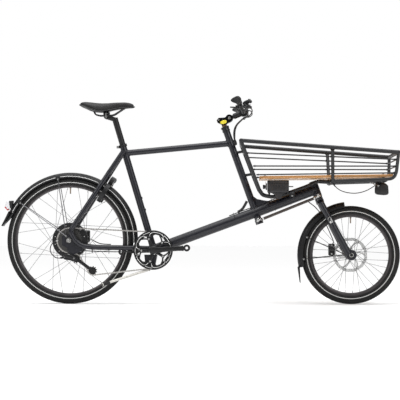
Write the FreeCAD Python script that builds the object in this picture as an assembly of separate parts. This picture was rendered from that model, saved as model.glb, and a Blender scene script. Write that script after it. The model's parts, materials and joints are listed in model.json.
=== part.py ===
"""Cargo bicycle with a load basket over a small front wheel, remote rod steering and a hub motor.

Millimetres. +X forwards, +Y to the rider's left, +Z up. The origin is on the ground, under the
middle of the bicycle. Each sub-part is written to parts/NODE.step.
"""
import FreeCAD, Part
import math
import os

V = FreeCAD.Vector

# Driving dimensions: wheels, axles and angles
REAR_AXLE = V(-676.4, 0, 330.0)
FRONT_AXLE = V(779.3, 0, 255.0)
BB = V(-241.0, 0, 280.5)  # bottom bracket
REAR_TYRE_R, REAR_TYRE_SECTION, REAR_RIM_R = 330.0, 25.5, 275.0
FRONT_TYRE_R, FRONT_TYRE_SECTION, FRONT_RIM_R = 255.0, 26.5, 196.0
REAR_OLD, FRONT_OLD = 135.0, 100.0  # widths between the dropouts
HEAD_ANGLE, SEAT_ANGLE = 70.2, 73.4
HALF_LENGTH = 1034.3

# Frame tubes
BOOM_D, BOOM_WALL = 54.0, 2.0
SEAT_TUBE_D, SEAT_TUBE_WALL = 34.9, 1.9
TOP_TUBE_D, TOP_TUBE_WALL = 31.8, 1.5
STAY_D, STAY_WALL = 25.0, 1.6
BB_SHELL_D, BB_SHELL_W = 46.0, 73.0
BOOM_KINK = V(284.7, 0, 474.3)
BOOM_END = V(600.5, 0, 595.3)
SEAT_TUBE_L = 573.0

# Steering: two parallel axes joined by a side rod
STEER_POINT = V(208.8, 0, 696.1)  # on the column's axis
FORK_POINT = V(614.6, 0, 548.0)  # crown race, on the fork's axis
HEAD_D, HEAD_BORE, FORK_HEAD_D = 36.0, 31.0, 44.0
STEERER_D, COLUMN_BORE = 28.6, 25.6
LIFTER_D = 25.4
COLUMN_LOW, COLUMN_HIGH = -276.0, 212.0  # the long head tube, along its axis
FORK_HEAD_LOW, FORK_HEAD_HIGH = 8.0, 74.0
CUP_H = 8.0
ARM = 88.0  # steering arm, sideways from each axis
COLUMN_PIVOT_T, FORK_PIVOT_T = -286.0, 3.0
RUN_GAP = 0.05  # radial clearance of a running fit

# Cockpit
STEM_PIVOT = V(151.4, 0, 964.2)
BAR_CLAMP = V(225.0, 0, 995.0)
BAR_D, GRIP_D = 22.2, 33.0
BAR_BEND, BAR_RISE, BAR_END = V(225, -55, 995), V(204, -150, 1034), V(196, -330, 1036)
LEVER_PIVOT = V(236, -186, 1006)
LEVER_TIP = V(226, -304, 984)
SHIFT_PIVOT = V(196, -172, 1008)

# Drive
CRANK_L, CRANK_RISE = 175.0, 3.6
CHAIN_PITCH = 12.7
RING_TEETH, SPROCKET_TEETH, PULLEY_TEETH = 46, 32, 11
RING_Y, SPROCKET_Y = -58.0, -36.0
GUIDE = V(-641.6, SPROCKET_Y, 235.3)
TENSION = V(-556.9, SPROCKET_Y, 173.0)
MOTOR_R, MOTOR_FLANGE_R = 92.0, 92.8
THREAD_R = 7.14

# Load carrier
RAIL_D, WIRE_D, POST_D = 20.0, 7.0, 17.0
TOP_HALF_W, LOW_HALF_W, DECK_HALF_W = 275.0, 198.0, 190.0
RAIL_REAR, RAIL_FRONT = V(213.5, 0, 834), V(1003.7, 0, 774)
DECK_REAR_X, DECK_FRONT_X, DECK_REAR_Z, DECK_FRONT_Z, DECK_T = 306.0, 985.0, 645.0, 654.0, 13.0
MID_POST_X = 673.0

STAND_PIVOT = V(-250, 0, 192)
STAND_FOOT = V(-489, -105, 107)

Y_AXIS = V(0, 1, 0)
os.makedirs("parts", exist_ok=True)


# Shapes that are used again and again

def rod(p, q, d):
    return Part.makeCylinder(d / 2, (q - p).Length, p, q - p)


def tube(p, q, d, wall):
    return rod(p, q, d).cut(rod(p, q, d - 2 * wall))


def taper(p, q, d1, d2):
    return Part.makeCone(d1 / 2, d2 / 2, (q - p).Length, p, q - p)


def ring(centre, axis, r_out, r_in, width):
    start = centre - V(axis).normalize() * (width / 2)
    return Part.makeCylinder(r_out, width, start, axis).cut(Part.makeCylinder(r_in, width, start, axis))


def disc(centre, axis, r, width):
    return Part.makeCylinder(r, width, centre - V(axis).normalize() * (width / 2), axis)


def block(centre, x, y, z):
    return Part.makeBox(x, y, z, centre - V(x / 2, y / 2, z / 2))


def fuse(shapes):
    shapes = list(shapes)
    return shapes[0].multiFuse(shapes[1:]).removeSplitter() if len(shapes) > 1 else shapes[0]


def mirrored(shape):
    return shape.mirror(V(0, 0, 0), Y_AXIS)


def both_sides(shape):
    return [shape, mirrored(shape)]


def plate(points, y, thickness):
    """A flat plate in the bicycle's plane, from its (x, z) outline."""
    outline = [V(x, y, z) for x, z in points]
    return Part.Face(Part.makePolygon(outline + outline[:1])).extrude(V(0, thickness, 0))


def path(points, radii):
    """Straight runs joined by tangent arcs. radii is one radius, or one for each inner point."""
    inner = points[1:-1]
    radii = radii if isinstance(radii, list) else [radii] * len(inner)
    edges, start = [], points[0]
    for before, corner, after, radius in zip(points, inner, points[2:], radii):
        a, b = (before - corner).normalize(), (after - corner).normalize()
        half = a.getAngle(b) / 2
        reach = radius / math.tan(half)
        p, q = corner + a * reach, corner + b * reach
        middle = corner + (a + b).normalize() * (radius / math.sin(half) - radius)
        edges += [Part.LineSegment(start, p).toShape(), Part.Arc(p, middle, q).toShape()]
        start = q
    edges.append(Part.LineSegment(start, points[-1]).toShape())
    return Part.Wire(edges)


def pipe(points, radii, d, wall=0):
    spine = path(points, radii)
    start, along = points[0], points[1] - points[0]

    def swept(diameter):
        section = Part.Wire(Part.makeCircle(diameter / 2, start, along))
        return spine.makePipeShell([section], True, False)

    return swept(d).cut(swept(d - 2 * wall)) if wall else swept(d)


def leaning(shape, origin, angle=HEAD_ANGLE):
    """Puts a shape drawn about +Z, with +X forwards, on an axis that leans back at angle."""
    placed = shape.copy()
    placed.Placement = FreeCAD.Placement(origin, FreeCAD.Rotation(Y_AXIS, angle - 90)) * shape.Placement
    return placed


def on_axis(origin, t, forward=0, side=0, angle=HEAD_ANGLE):
    a = math.radians(angle)
    along, ahead = V(-math.cos(a), 0, math.sin(a)), V(math.sin(a), 0, math.cos(a))
    return origin + along * t + ahead * forward + Y_AXIS * side


def about_axle(face, axle, start, end):
    """Turns a face drawn ahead of the axle through the angles start to end, upwards positive."""
    face = face.copy()
    face.rotate(axle, V(0, -1, 0), start)
    return face.revolve(axle, V(0, -1, 0), end - start)


def section(axle, points):
    """A face ahead of the axle from (radius, y) points."""
    outline = [axle + V(r, y, 0) for r, y in points]
    return Part.Face(Part.makePolygon(outline + outline[:1]))


def around(axle, points):
    return section(axle, points).revolve(axle, Y_AXIS, 360)


def at_angle(axle, radius, degrees, y):
    a = math.radians(degrees)
    return axle + V(radius * math.cos(a), y, radius * math.sin(a))


def pitch_radius(teeth):
    return CHAIN_PITCH / 2 / math.sin(math.pi / teeth)


def root_radius(teeth):
    """The disc under the chain, without its teeth."""
    return pitch_radius(teeth) - 4


NODES = {}


def node(name, *shapes):
    """Keeps the solids of one named sub-part."""
    solids = [s for shape in shapes for s in shape.Solids]
    NODES[name] = Part.makeCompound(solids) if len(solids) > 1 else solids[0]


# Frame

SEAT_TOP = on_axis(BB, SEAT_TUBE_L, angle=SEAT_ANGLE)
HEAD_BOTTOM, HEAD_TOP = on_axis(STEER_POINT, COLUMN_LOW), on_axis(STEER_POINT, COLUMN_HIGH)
FORK_HEAD_BOTTOM = on_axis(FORK_POINT, FORK_HEAD_LOW)
FORK_HEAD_TOP = on_axis(FORK_POINT, FORK_HEAD_HIGH)


def boom():
    shell = (BB - V(0, BB_SHELL_W / 2, 0), BB + V(0, BB_SHELL_W / 2, 0))
    kink = Part.makeSphere(BOOM_D / 2, BOOM_KINK)
    outer = fuse([rod(BB, BOOM_KINK, BOOM_D), kink, rod(BOOM_KINK, BOOM_END, BOOM_D),
                  rod(*shell, BB_SHELL_D)])
    inner_d = BOOM_D - 2 * BOOM_WALL
    inner = fuse([rod(BB, BOOM_KINK, inner_d), Part.makeSphere(inner_d / 2, BOOM_KINK),
                  rod(BOOM_KINK, BOOM_END, inner_d)])
    body = outer.cut(inner).cut(rod(*shell, 36.0))
    gusset = plate([(275, 560), (296, 545), (330, 538), (372, 533), (414, 515), (300, 470)], -4, 8)
    body = body.fuse(gusset.cut(outer))
    body = body.cut(rod(HEAD_BOTTOM, HEAD_TOP, HEAD_D))
    body = body.cut(rod(FORK_HEAD_BOTTOM, FORK_HEAD_TOP, FORK_HEAD_D))
    body = body.cut(rod(FORK_HEAD_TOP, on_axis(FORK_POINT, 120), FORK_HEAD_D + 3))
    return [s for s in body.Solids if s.Volume > 1000]


def head_tubes():
    """The long tube of the steering column and the short one of the fork."""
    return [tube(HEAD_BOTTOM, HEAD_TOP, HEAD_D, (HEAD_D - HEAD_BORE) / 2),
            tube(FORK_HEAD_BOTTOM, FORK_HEAD_TOP, FORK_HEAD_D, 5.0)]


def upper_frame():
    """Seat tube with its bottle bosses, and top tube."""
    seat_axis = rod(BB, SEAT_TOP, SEAT_TUBE_D)
    joint = on_axis(BB, 525, angle=SEAT_ANGLE)
    top = tube(joint, V(144.4, 0, 832.9), TOP_TUBE_D, TOP_TUBE_WALL)
    bore = rod(BB, SEAT_TOP, SEAT_TUBE_D - 2 * SEAT_TUBE_WALL)
    body = seat_axis.fuse(top.cut(seat_axis)).cut(bore)
    body = body.cut(rod(HEAD_BOTTOM, HEAD_TOP, HEAD_D)).cut(disc(BB, Y_AXIS, BB_SHELL_D / 2, BB_SHELL_W))
    body = body.cut(rod(BB, BOOM_KINK, BOOM_D))
    for t in BOTTLE_BOSSES:
        inside, face = (on_axis(BB, t, forward, angle=SEAT_ANGLE) for forward in (16.5, 20.5))
        body = body.fuse(rod(inside, face, 11.0)).cut(rod(on_axis(BB, t, 10, angle=SEAT_ANGLE), face, 4.2))
    return max(body.Solids, key=lambda s: s.Volume)


BOTTLE_BOSSES = (214.0, 278.0)
STAY_RADII = [120, 160, 26, 50, 60, 90, 200, 250]
STAY_POINTS = [V(-397, -20, 796), V(-470, -46, 684), V(-645, -78, 415), V(-669, -80, 378), V(-643, -80, 329),
               V(-612, -80, 303), V(-560, -75, 295), V(-494, -62, 293), V(-370, -44, 292), V(-250, -22, 288)]
DROPOUT = [(-712, 352), (-660, 365), (-622, 330), (-600, 304), (-596, 290), (-618, 272), (-650, 258),
           (-668, 246), (-682, 250), (-684, 290), (-712, 306)]


def rear_stay():
    """One bent tube from the seat tube down past the axle and forwards to the bottom bracket."""
    bent = pipe(STAY_POINTS, STAY_RADII, STAY_D, STAY_WALL)
    drop = plate(DROPOUT, -REAR_OLD / 2 - 6, 6).cut(pipe(STAY_POINTS, STAY_RADII, STAY_D))
    body = bent.fuse(drop).cut(rod(REAR_AXLE - Y_AXIS * 100, REAR_AXLE, 10.2))
    body = body.cut(rod(BB, SEAT_TOP, SEAT_TUBE_D)).cut(disc(BB, Y_AXIS, BB_SHELL_D / 2, BB_SHELL_W))
    body = body.cut(rod(BB, BOOM_KINK, BOOM_D)).cut(block(V(-397, 25, 796), 200, 50, 200))
    return max(body.Solids, key=lambda s: s.Volume)


def cup(origin, t, up):
    """A headset cup on the end of a head tube, with its flange outside."""
    return ring(on_axis(origin, t + up * CUP_H / 2), on_axis(V(), 1), 20.5, STEERER_D / 2 + RUN_GAP, CUP_H)


def bearing_cups():
    cups = [cup(STEER_POINT, COLUMN_LOW, -1), cup(STEER_POINT, COLUMN_HIGH, 1),
            cup(FORK_POINT, FORK_HEAD_LOW, -1), cup(FORK_POINT, FORK_HEAD_HIGH, 1)]
    for side in (-1, 1):
        cups.append(ring(BB + Y_AXIS * side * (BB_SHELL_W / 2 - 6), Y_AXIS, 18.0, 12.0 + RUN_GAP, 12))
    return cups


def seat_collar():
    low, high = (on_axis(BB, t, angle=SEAT_ANGLE) for t in (SEAT_TUBE_L - 14, SEAT_TUBE_L - 1))
    centre = on_axis(BB, SEAT_TUBE_L - 7.5, -25, angle=SEAT_ANGLE)
    body = rod(low, high, 43.0).fuse(block(centre, 16, 20, 12)).cut(rod(low, high, SEAT_TUBE_D))
    body = body.cut(rod(BB, on_axis(BB, 700, angle=SEAT_ANGLE), SEAT_TUBE_D))
    bolt = rod(centre - Y_AXIS * 17, centre + Y_AXIS * 15, 6.0)
    head = rod(centre - Y_AXIS * 17, centre - Y_AXIS * 10.5, 13.0)
    return fuse([body, bolt, head])


# Load carrier

def top_rail_z(x):
    return RAIL_REAR.z + (x - RAIL_REAR.x) * (RAIL_FRONT.z - RAIL_REAR.z) / (RAIL_FRONT.x - RAIL_REAR.x)


def side_point(x, z):
    """A point on the flared right side of the basket."""
    share = (z - 640) / (top_rail_z(x) - 640)
    return V(x, -(LOW_HALF_W + (TOP_HALF_W - LOW_HALF_W) * share), z)


WIRES = [((238.6, 772.7), (996, 738.5)), ((273.8, 707.5), (996, 705.5)), ((291.0, 664.0), (992, 672.5))]
BOTTOM_RAIL_Z = (632.0, 640.0)


def basket_side():
    """Top rail, middle post, bottom rail with front post, and three wires of the right side."""
    rear, front = V(RAIL_REAR.x, -TOP_HALF_W, RAIL_REAR.z), V(RAIL_FRONT.x, -TOP_HALF_W, RAIL_FRONT.z)
    parts = [rod(rear, front, RAIL_D), Part.makeSphere(RAIL_D / 2, rear), Part.makeSphere(RAIL_D / 2, front)]
    foot = V(MID_POST_X + 5, -LOW_HALF_W, BOTTOM_RAIL_Z[0])
    parts.append(rod(side_point(MID_POST_X, top_rail_z(MID_POST_X)), foot, POST_D))
    low = [foot, V(935, -LOW_HALF_W, BOTTOM_RAIL_Z[1]), V(985, -LOW_HALF_W, 644), side_point(997, 676), front]
    parts.append(pipe(low, [200, 32, 120], POST_D))
    parts.append(Part.makeSphere(POST_D / 2, foot))
    for (x1, z1), (x2, z2) in WIRES:
        parts.append(rod(side_point(x1, z1), side_point(x2, z2), WIRE_D))
    return fuse(parts)


POST_RADII = [60, 60, 40, 30, 120, 200]
POST_POINTS = [V(213.5, -275, 834), V(281, -205, 656), V(305, -130, 594), V(326, -58, 564), V(372, -44, 556),
               V(430, -44, 566), V(545, -44, 607), V(612, -44, 636)]


def basket_cradle(sides):
    """Rear posts that run down to the boom and forwards on it, cross tubes and head tube brackets."""
    post = pipe(POST_POINTS, POST_RADII, POST_D + 1)
    post = post.fuse(Part.makeSphere(POST_D / 2 + 0.5, POST_POINTS[0])).cut(sides)
    parts = both_sides(post)
    w = TOP_HALF_W
    parts.append(rod(V(RAIL_REAR.x, -w, RAIL_REAR.z), V(RAIL_REAR.x, w, RAIL_REAR.z), RAIL_D))
    parts.append(rod(V(RAIL_FRONT.x, -w, RAIL_FRONT.z), V(RAIL_FRONT.x, w, RAIL_FRONT.z), RAIL_D))
    for x, z, half in ((229, 793, 258), (274, 675, 211)):
        parts.append(rod(V(x, -half, z), V(x, half, z), 14))
        parts.append(rod(V(x, 0, z), V(x - 45, 0, z - 8), 14).cut(rod(HEAD_BOTTOM, HEAD_TOP, HEAD_D)))
    parts.append(rod(V(MID_POST_X + 5, -LOW_HALF_W, 632), V(MID_POST_X + 5, LOW_HALF_W, 632), POST_D))
    parts.append(rod(V(935, -LOW_HALF_W, 640), V(935, LOW_HALF_W, 640), POST_D))
    for y in (-44, 44):
        parts.append(rod(V(612, y, 636), V(MID_POST_X + 5, y, 632), POST_D + 1))
        parts.append(rod(V(MID_POST_X + 5, y, 632), V(935, y, 640), POST_D))
        parts.append(block(V(477, y * 0.8, 569), 26, 22, 34))
    for x, z in ((996, 738.5), (996, 705.5), (990, 672.5)):
        half = -side_point(x, z).y
        parts.append(rod(V(x, -half, z), V(x, half, z), WIRE_D))
    body = fuse(parts).cut(sides)
    body = body.cut(rod(BB, BOOM_KINK, BOOM_D)).cut(rod(BOOM_KINK, BOOM_END, BOOM_D))
    body = body.cut(rod(HEAD_BOTTOM, HEAD_TOP, HEAD_D)).cut(deck())
    return [s for s in body.Solids if s.Volume > 500] + [headlight_bracket().cut(body)]


def deck():
    low = [V(DECK_REAR_X, 0, DECK_REAR_Z), V(DECK_FRONT_X, 0, DECK_FRONT_Z)]
    outline = [(p.x, p.z) for p in low] + [(p.x, p.z + DECK_T) for p in reversed(low)]
    return plate(outline, -DECK_HALF_W, 2 * DECK_HALF_W)


def control_box():
    """Weatherproof controller case on a clamp round the right rail of the cradle."""
    case = Part.makeBox(111, 58, 62, V(348, -92, 578))
    case = case.makeFillet(5, [e for e in case.Edges])
    end = Part.makeBox(5, 46, 34, V(341, -86, 590)).fuse(rod(V(331, -63, 606), V(341, -63, 606), 20))
    neck = plate([(362, 578), (448, 578), (424, 566), (420, 545), (390, 545), (386, 566)], -78, 30)
    pin = rod(V(459, -63, 608), V(482, -63, 607), 5)
    body = fuse([case, end, neck, pin])
    return body.cut(pipe(POST_POINTS, POST_RADII, POST_D + 1.6)).cut(rod(BOOM_KINK, BOOM_END, BOOM_D + 1))


# Wheels

def wheel(prefix, axle, tyre_r, tyre_section, rim_r, spokes, flange_r, flange_y, cross):
    """Tyre, rim and spokes on one axle; each spoke crosses others of its side, which pass it by."""
    middle = tyre_r - tyre_section
    casing = Part.makeTorus(middle, tyre_section, axle, Y_AXIS)
    air = Part.makeTorus(middle, tyre_section - 3, axle, Y_AXIS)
    rim_top = rim_r + 16
    channel = ring(axle, Y_AXIS, rim_top, rim_r - 20, 27)
    node(prefix + "_tyre", casing.cut(air).cut(channel).cut(ring(axle, Y_AXIS, rim_r + 7, rim_r - 20, 80)))
    profile = [(rim_r, -10), (rim_r + 7, -13.2), (rim_top, -13.2), (rim_top, -10.5), (rim_r + 9, -10.5),
               (rim_r + 6, 0), (rim_r + 9, 10.5), (rim_top, 10.5), (rim_top, 13.2),
               (rim_r + 7, 13.2), (rim_r, 10)]
    valve_hole = rod(at_angle(axle, rim_r - 5, 90, 0), at_angle(axle, rim_r + 16, 90, 0), 8)
    rim = around(axle, profile).cut(valve_hole)
    valve = rod(at_angle(axle, rim_r - 32, 90, 0), at_angle(axle, rim_r + 13, 90, 0), 6.5)
    node(prefix + "_rim", rim, valve)
    step = 360 / spokes
    lines = []
    for i in range(spokes):
        side = 1 if i % 2 else -1
        hand = 1 if i % 4 < 2 else -1
        outer = at_angle(axle, rim_r - 0.3, (i + 0.25) * step, side * (3 + hand))
        inner = at_angle(axle, flange_r, (i + 0.25 + cross * hand) * step, side * (flange_y + 1.5 * hand))
        lines.append(rod(inner, outer, 2.0))
    node(prefix + "_spokes", *lines)


def rotor(axle, y, r_out, carrier_r):
    """Brake disc with six wavy arms and drilled braking band."""
    body = ring(axle + Y_AXIS * y, Y_AXIS, r_out, r_out - 16, 1.8)
    for i in range(6):
        foot, tip = at_angle(axle, 18, 60 * i + 25, y), at_angle(axle, r_out - 12, 60 * i, y)
        body = body.fuse(rod_flat(foot, tip, 9, 1.8))
    body = body.fuse(ring(axle + Y_AXIS * y, Y_AXIS, carrier_r + 7, carrier_r, 1.8))
    return body


def rod_flat(p, q, width, thickness):
    """A flat bar between two points of a plane across Y."""
    along = (q - p).normalize()
    across = along.cross(Y_AXIS).normalize() * (width / 2)
    corners = [p - across, q - across, q + across, p + across]
    face = Part.Face(Part.makePolygon(corners + corners[:1]))
    face.translate(V(0, -thickness / 2, 0))
    return face.extrude(V(0, thickness, 0))


def front_hub():
    shell = rod(FRONT_AXLE - Y_AXIS * 38, FRONT_AXLE + Y_AXIS * 38, 34)
    flanges = [disc(FRONT_AXLE + Y_AXIS * y, Y_AXIS, 27, 4) for y in (-32, 24)]
    mount = disc(FRONT_AXLE + Y_AXIS * 36, Y_AXIS, 20, 8)
    return fuse([shell, mount] + flanges).cut(rod(FRONT_AXLE - Y_AXIS * 60, FRONT_AXLE + Y_AXIS * 60, 10.1))


def front_axle():
    axle = rod(FRONT_AXLE - Y_AXIS * 76, FRONT_AXLE + Y_AXIS * 76, 10.0)
    spacers = [ring(FRONT_AXLE + Y_AXIS * y, Y_AXIS, 10, 4.9, 9) for y in (-45, 45)]
    caps = [disc(FRONT_AXLE + Y_AXIS * y, Y_AXIS, 11, 5) for y in (-74, 74)]
    return fuse([axle] + spacers + caps)


def hub_motor():
    profile = [(10.1, -32), (60, -30), (MOTOR_R - 4, -24), (MOTOR_R, -20), (MOTOR_R, 20), (MOTOR_R - 4, 24),
               (60, 30), (10.1, 32)]
    return around(REAR_AXLE, profile)


def rear_axle():
    axle = rod(REAR_AXLE - Y_AXIS * 88, REAR_AXLE + Y_AXIS * 88, 10.0)
    collar = [rod(REAR_AXLE + Y_AXIS * s * 33, REAR_AXLE + Y_AXIS * s * 67.4, 20) for s in (-1, 1)]
    core = rod(REAR_AXLE - Y_AXIS * 34, REAR_AXLE + Y_AXIS * 34, 20)
    nuts = [disc(REAR_AXLE + Y_AXIS * s * 80, Y_AXIS, 9.5, 12.8) for s in (-1, 1)]
    return fuse([axle, core] + collar + nuts)


# Drive

def cassette():
    """Nine sprockets on a splined sleeve that runs on the motor's axle."""
    teeth = [32, 28, 24, 21, 18, 16, 14, 12, 11]
    body = ring(REAR_AXLE - Y_AXIS * 50, Y_AXIS, 17, 10.1, 31)
    plates = []
    for i, count in enumerate(teeth):
        y = SPROCKET_Y - 3.5 * i
        plates.append(ring(REAR_AXLE + Y_AXIS * y, Y_AXIS, root_radius(count), 10.1, 1.8))
    return fuse([body] + plates)


def crank_dir():
    a = math.radians(CRANK_RISE)
    return V(math.cos(a), 0, math.sin(a))


def crank_arm(side):
    start, end = BB + Y_AXIS * side * 92, BB + crank_dir() * (-side) * CRANK_L + Y_AXIS * side * 92
    arm = rod_flat(start, end, 24, 13).fuse(disc(start, Y_AXIS, 20, 16)).fuse(disc(end, Y_AXIS, 18.5, 13))
    return arm.cut(rod(end - Y_AXIS * 20, end + Y_AXIS * 20, 2 * THREAD_R))


def crankset():
    axle = rod(BB - Y_AXIS * 92, BB + Y_AXIS * 92, 24)
    right = crank_arm(-1)
    for i in range(5):
        tip = at_angle(BB, 60, CRANK_RISE + 36 + 72 * i, -69)
        right = right.fuse(rod_flat(BB + Y_AXIS * -69, tip, 17, 6)).fuse(disc(tip, Y_AXIS, 9, 6))
    right = right.fuse(disc(BB + Y_AXIS * -75, Y_AXIS, 22, 20))
    return fuse([axle, right, crank_arm(1)])


def chainring():
    """Toothed ring with an outer guard ring, bolted to the spider."""
    toothed = ring(BB + Y_AXIS * RING_Y, Y_AXIS, root_radius(RING_TEETH), 52, 3)
    guard = ring(BB + Y_AXIS * (RING_Y - 6.6), Y_AXIS, 102, 76, 2.4)
    webs = ring(BB + Y_AXIS * (RING_Y - 3.5), Y_AXIS, 84, 78, 4.4)
    spacers = [disc(at_angle(BB, 60, CRANK_RISE + 36 + 72 * i, RING_Y - 4.8), Y_AXIS, 7, 6.4)
               for i in range(5)]
    return fuse([toothed, guard, webs] + spacers)


def chain():
    """The chain as a plain band round the ring, the two pulleys and the sprocket."""
    stops = [(REAR_AXLE, pitch_radius(SPROCKET_TEETH), SPROCKET_Y, -1),
             (BB, pitch_radius(RING_TEETH), RING_Y, -1),
             (TENSION, pitch_radius(PULLEY_TEETH), SPROCKET_Y, -1),
             (GUIDE, pitch_radius(PULLEY_TEETH), SPROCKET_Y, 1)]
    leave, arrive = {}, {}
    for i, (c1, r1, y1, s1) in enumerate(stops):
        j = (i + 1) % len(stops)
        c2, r2, y2, s2 = stops[j]
        gap = V(c2.x - c1.x, 0, c2.z - c1.z)
        angle = math.atan2(gap.z, gap.x) + math.asin((r1 * s1 - r2 * s2) / gap.Length)
        normal = V(math.sin(angle), 0, -math.cos(angle))
        leave[i] = V(c1.x, y1, c1.z) + normal * (r1 * s1)
        arrive[j] = V(c2.x, y2, c2.z) + normal * (r2 * s2)
    runs = []
    for i, (c, r, y, s) in enumerate(stops):
        j = (i + 1) % len(stops)
        a = math.degrees(math.atan2(arrive[i].z - c.z, arrive[i].x - c.x))
        b = math.degrees(math.atan2(leave[i].z - c.z, leave[i].x - c.x))
        turn = (b - a) % 360 if s > 0 else (a - b) % 360
        start = a if s > 0 else a - turn
        centre = V(c.x, y, c.z)
        runs.append(about_axle(section(centre, [(r - 3.5, -3), (r + 3.5, -3), (r + 3.5, 3), (r - 3.5, 3)]),
                               centre, start, start + turn))
        along = (arrive[j] - leave[i]).normalize() * 0.5
        runs.append(rod_flat(leave[i] + along, arrive[j] - along, 7, 6))
    return runs


def derailleur_body():
    hanger = plate([(-690, 262), (-664, 262), (-634, 240), (-636, 226), (-654, 226), (-694, 244)], -84, 9)
    knuckle = rod(V(GUIDE.x, -75, GUIDE.z), V(GUIDE.x, -50, GUIDE.z), 26)
    lower = plate([(-716, 252), (-690, 262), (-650, 244), (-652, 224), (-700, 232)], -76, 14)
    bolt = rod(V(-676, -84, 256), V(-676, -68, 256), 14)
    return fuse([hanger, knuckle, lower, bolt]).cut(rear_stay())


def derailleur_cage():
    plates = []
    for y in (-44.5, -29.0):
        arm = rod_flat(V(GUIDE.x, y, GUIDE.z), V(TENSION.x, y, TENSION.z), 16, 1.5)
        plates.append(arm.fuse(disc(V(GUIDE.x, y, GUIDE.z), Y_AXIS, 11, 1.5))
                      .fuse(disc(V(TENSION.x, y, TENSION.z), Y_AXIS, 13, 1.5)))
    pins = [rod(V(p.x, -44.5, p.z), V(p.x, -29, p.z), 5) for p in (GUIDE, TENSION)]
    pivot = rod(V(GUIDE.x, -49.9, GUIDE.z), V(GUIDE.x, -44, GUIDE.z), 16)
    return fuse(plates + pins + [pivot])


def pulley(centre):
    return ring(centre, Y_AXIS, root_radius(PULLEY_TEETH), 2.5 + RUN_GAP, 7)


def stand_bracket():
    body = plate([(-284, 205), (-232, 205), (-222, 256), (-290, 256)], -22, 44)
    body = body.cut(disc(BB, Y_AXIS, BB_SHELL_D / 2, 200)).cut(rod(BB, BOOM_KINK, BOOM_D))
    ears = [plate([(-266, 180), (-234, 180), (-232, 205), (-268, 205)], y, 5) for y in (-22, 17)]
    pin = rod(STAND_PIVOT - Y_AXIS * 27, STAND_PIVOT + Y_AXIS * 27, 10)
    body = fuse([body, pin] + ears)
    for stay in both_sides(pipe(STAY_POINTS, STAY_RADII, STAY_D + 0.2)):
        body = body.cut(stay)
    return max(body.Solids, key=lambda s: s.Volume)


def stand():
    """Folding double-leg stand: a bored yoke and two splayed legs with feet."""
    yoke = rod(STAND_PIVOT - Y_AXIS * 16.6, STAND_PIVOT + Y_AXIS * 16.6, 24)
    cross = block(STAND_PIVOT + V(-20, 0, -10), 18, 33, 22)
    bar = rod(STAND_PIVOT + V(-24, -44, -16), STAND_PIVOT + V(-24, 44, -16), 14)
    leg = pipe([STAND_PIVOT + V(-24, -43, -16), V(-330, -64, 158), STAND_FOOT], 60, 13)
    foot = taper(STAND_FOOT + V(6, 3, 2), STAND_FOOT + V(-10, -5, -4), 17, 20)
    return fuse([yoke, cross, bar, *both_sides(leg), *both_sides(foot)]).cut(
        rod(STAND_PIVOT - Y_AXIS * 60, STAND_PIVOT + Y_AXIS * 60, 10.1))


# Mudguards, lights and lock

def guard_section(axle, middle, half_w, wall):
    """Half ring that opens towards the tyre."""
    centre = axle + V(middle, 0, 0)
    edges = []
    for r in (half_w, half_w - wall):
        a, b, c = (centre + V(r * math.cos(t), r * math.sin(t), 0) for t in (-math.pi / 2, 0, math.pi / 2))
        edges.append((Part.Arc(a, b, c).toShape(), a, c))
    (outer, a1, c1), (inner, a2, c2) = edges
    wire = Part.Wire(Part.__sortEdges__([outer, Part.LineSegment(c1, c2).toShape(), inner,
                                         Part.LineSegment(a2, a1).toShape()]))
    return Part.Face(wire)


def strut_pair(start, end, y_start, y_end, d=4.0):
    return both_sides(rod(V(start[0], y_start, start[1]), V(end[0], y_end, end[1]), d))


def rear_mudguard():
    blade = about_axle(guard_section(REAR_AXLE, 324, 29, 2), REAR_AXLE, -2, 155)
    flap = plate([(-996, 482), (-992, 466), (-1026, 404), (-HALF_LENGTH, 406)], -27, 54)
    parts = [blade, flap.cut(blade)]
    for degrees in (143.0, 101.0):
        high = at_angle(REAR_AXLE, 322, degrees, 0)
        parts += strut_pair((high.x, high.z), (-690, 352), -31, -77)
        parts += strut_pair((high.x, high.z), (high.x + 1, high.z - 4), -28, -34, 8)
    return [fuse(parts)]


def tail_light():
    body = plate([(-974, 538), (-1010, 534), (-1019, 500), (-1003, 484), (-978, 498)], -24, 48)
    return body.cut(about_axle(guard_section(REAR_AXLE, 324, 29.3, 20), REAR_AXLE, 120, 170))


LOCK_ALONG = V(math.cos(math.radians(57)), 0, math.sin(math.radians(57)))
LOCK_CENTRE = V(-498.8, 0, 574.5)
LOCK_FACE = V(LOCK_ALONG.z, 0, -LOCK_ALONG.x)  # across the lock, forwards
LOCK_R = 61.0
BOLT_FROM, BOLT_SPAN = -50.0, 120.0


def lock_sector(r_out, r_in, low, high, start, end):
    """Part of a ring round the lock's axis; angles run from the right side over the top."""
    def at(r, degrees, w):
        a = math.radians(degrees)
        return LOCK_CENTRE + V(0, -r * math.cos(a), 0) + LOCK_ALONG * (r * math.sin(a)) + LOCK_FACE * w

    corners = [at(r_in, start, low), at(r_out, start, low), at(r_out, start, high), at(r_in, start, high)]
    face = Part.Face(Part.makePolygon(corners + corners[:1]))
    turn = (at(r_out, start + 1, 0) - LOCK_CENTRE).cross(at(r_out, start, 0) - LOCK_CENTRE)
    return face.revolve(LOCK_CENTRE, turn * -1, end - start)


def ring_lock():
    body = lock_sector(72, 52, -11, 11, BOLT_FROM + 4, 180 - BOLT_FROM - 4)
    head = lock_sector(96, 56, -12, 12, 58, 122)
    body = body.fuse(head).cut(Part.makeTorus(LOCK_R, 5.2, LOCK_CENTRE, LOCK_FACE))
    body = body.cut(lock_sector(LOCK_R + 4.4, LOCK_R - 4.4, 0, 20, -60, 74))
    key = LOCK_CENTRE + LOCK_ALONG * 84
    keyhole = rod(key + LOCK_FACE * 8, key + LOCK_FACE * 16, 14)
    return body.fuse(keyhole)


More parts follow.
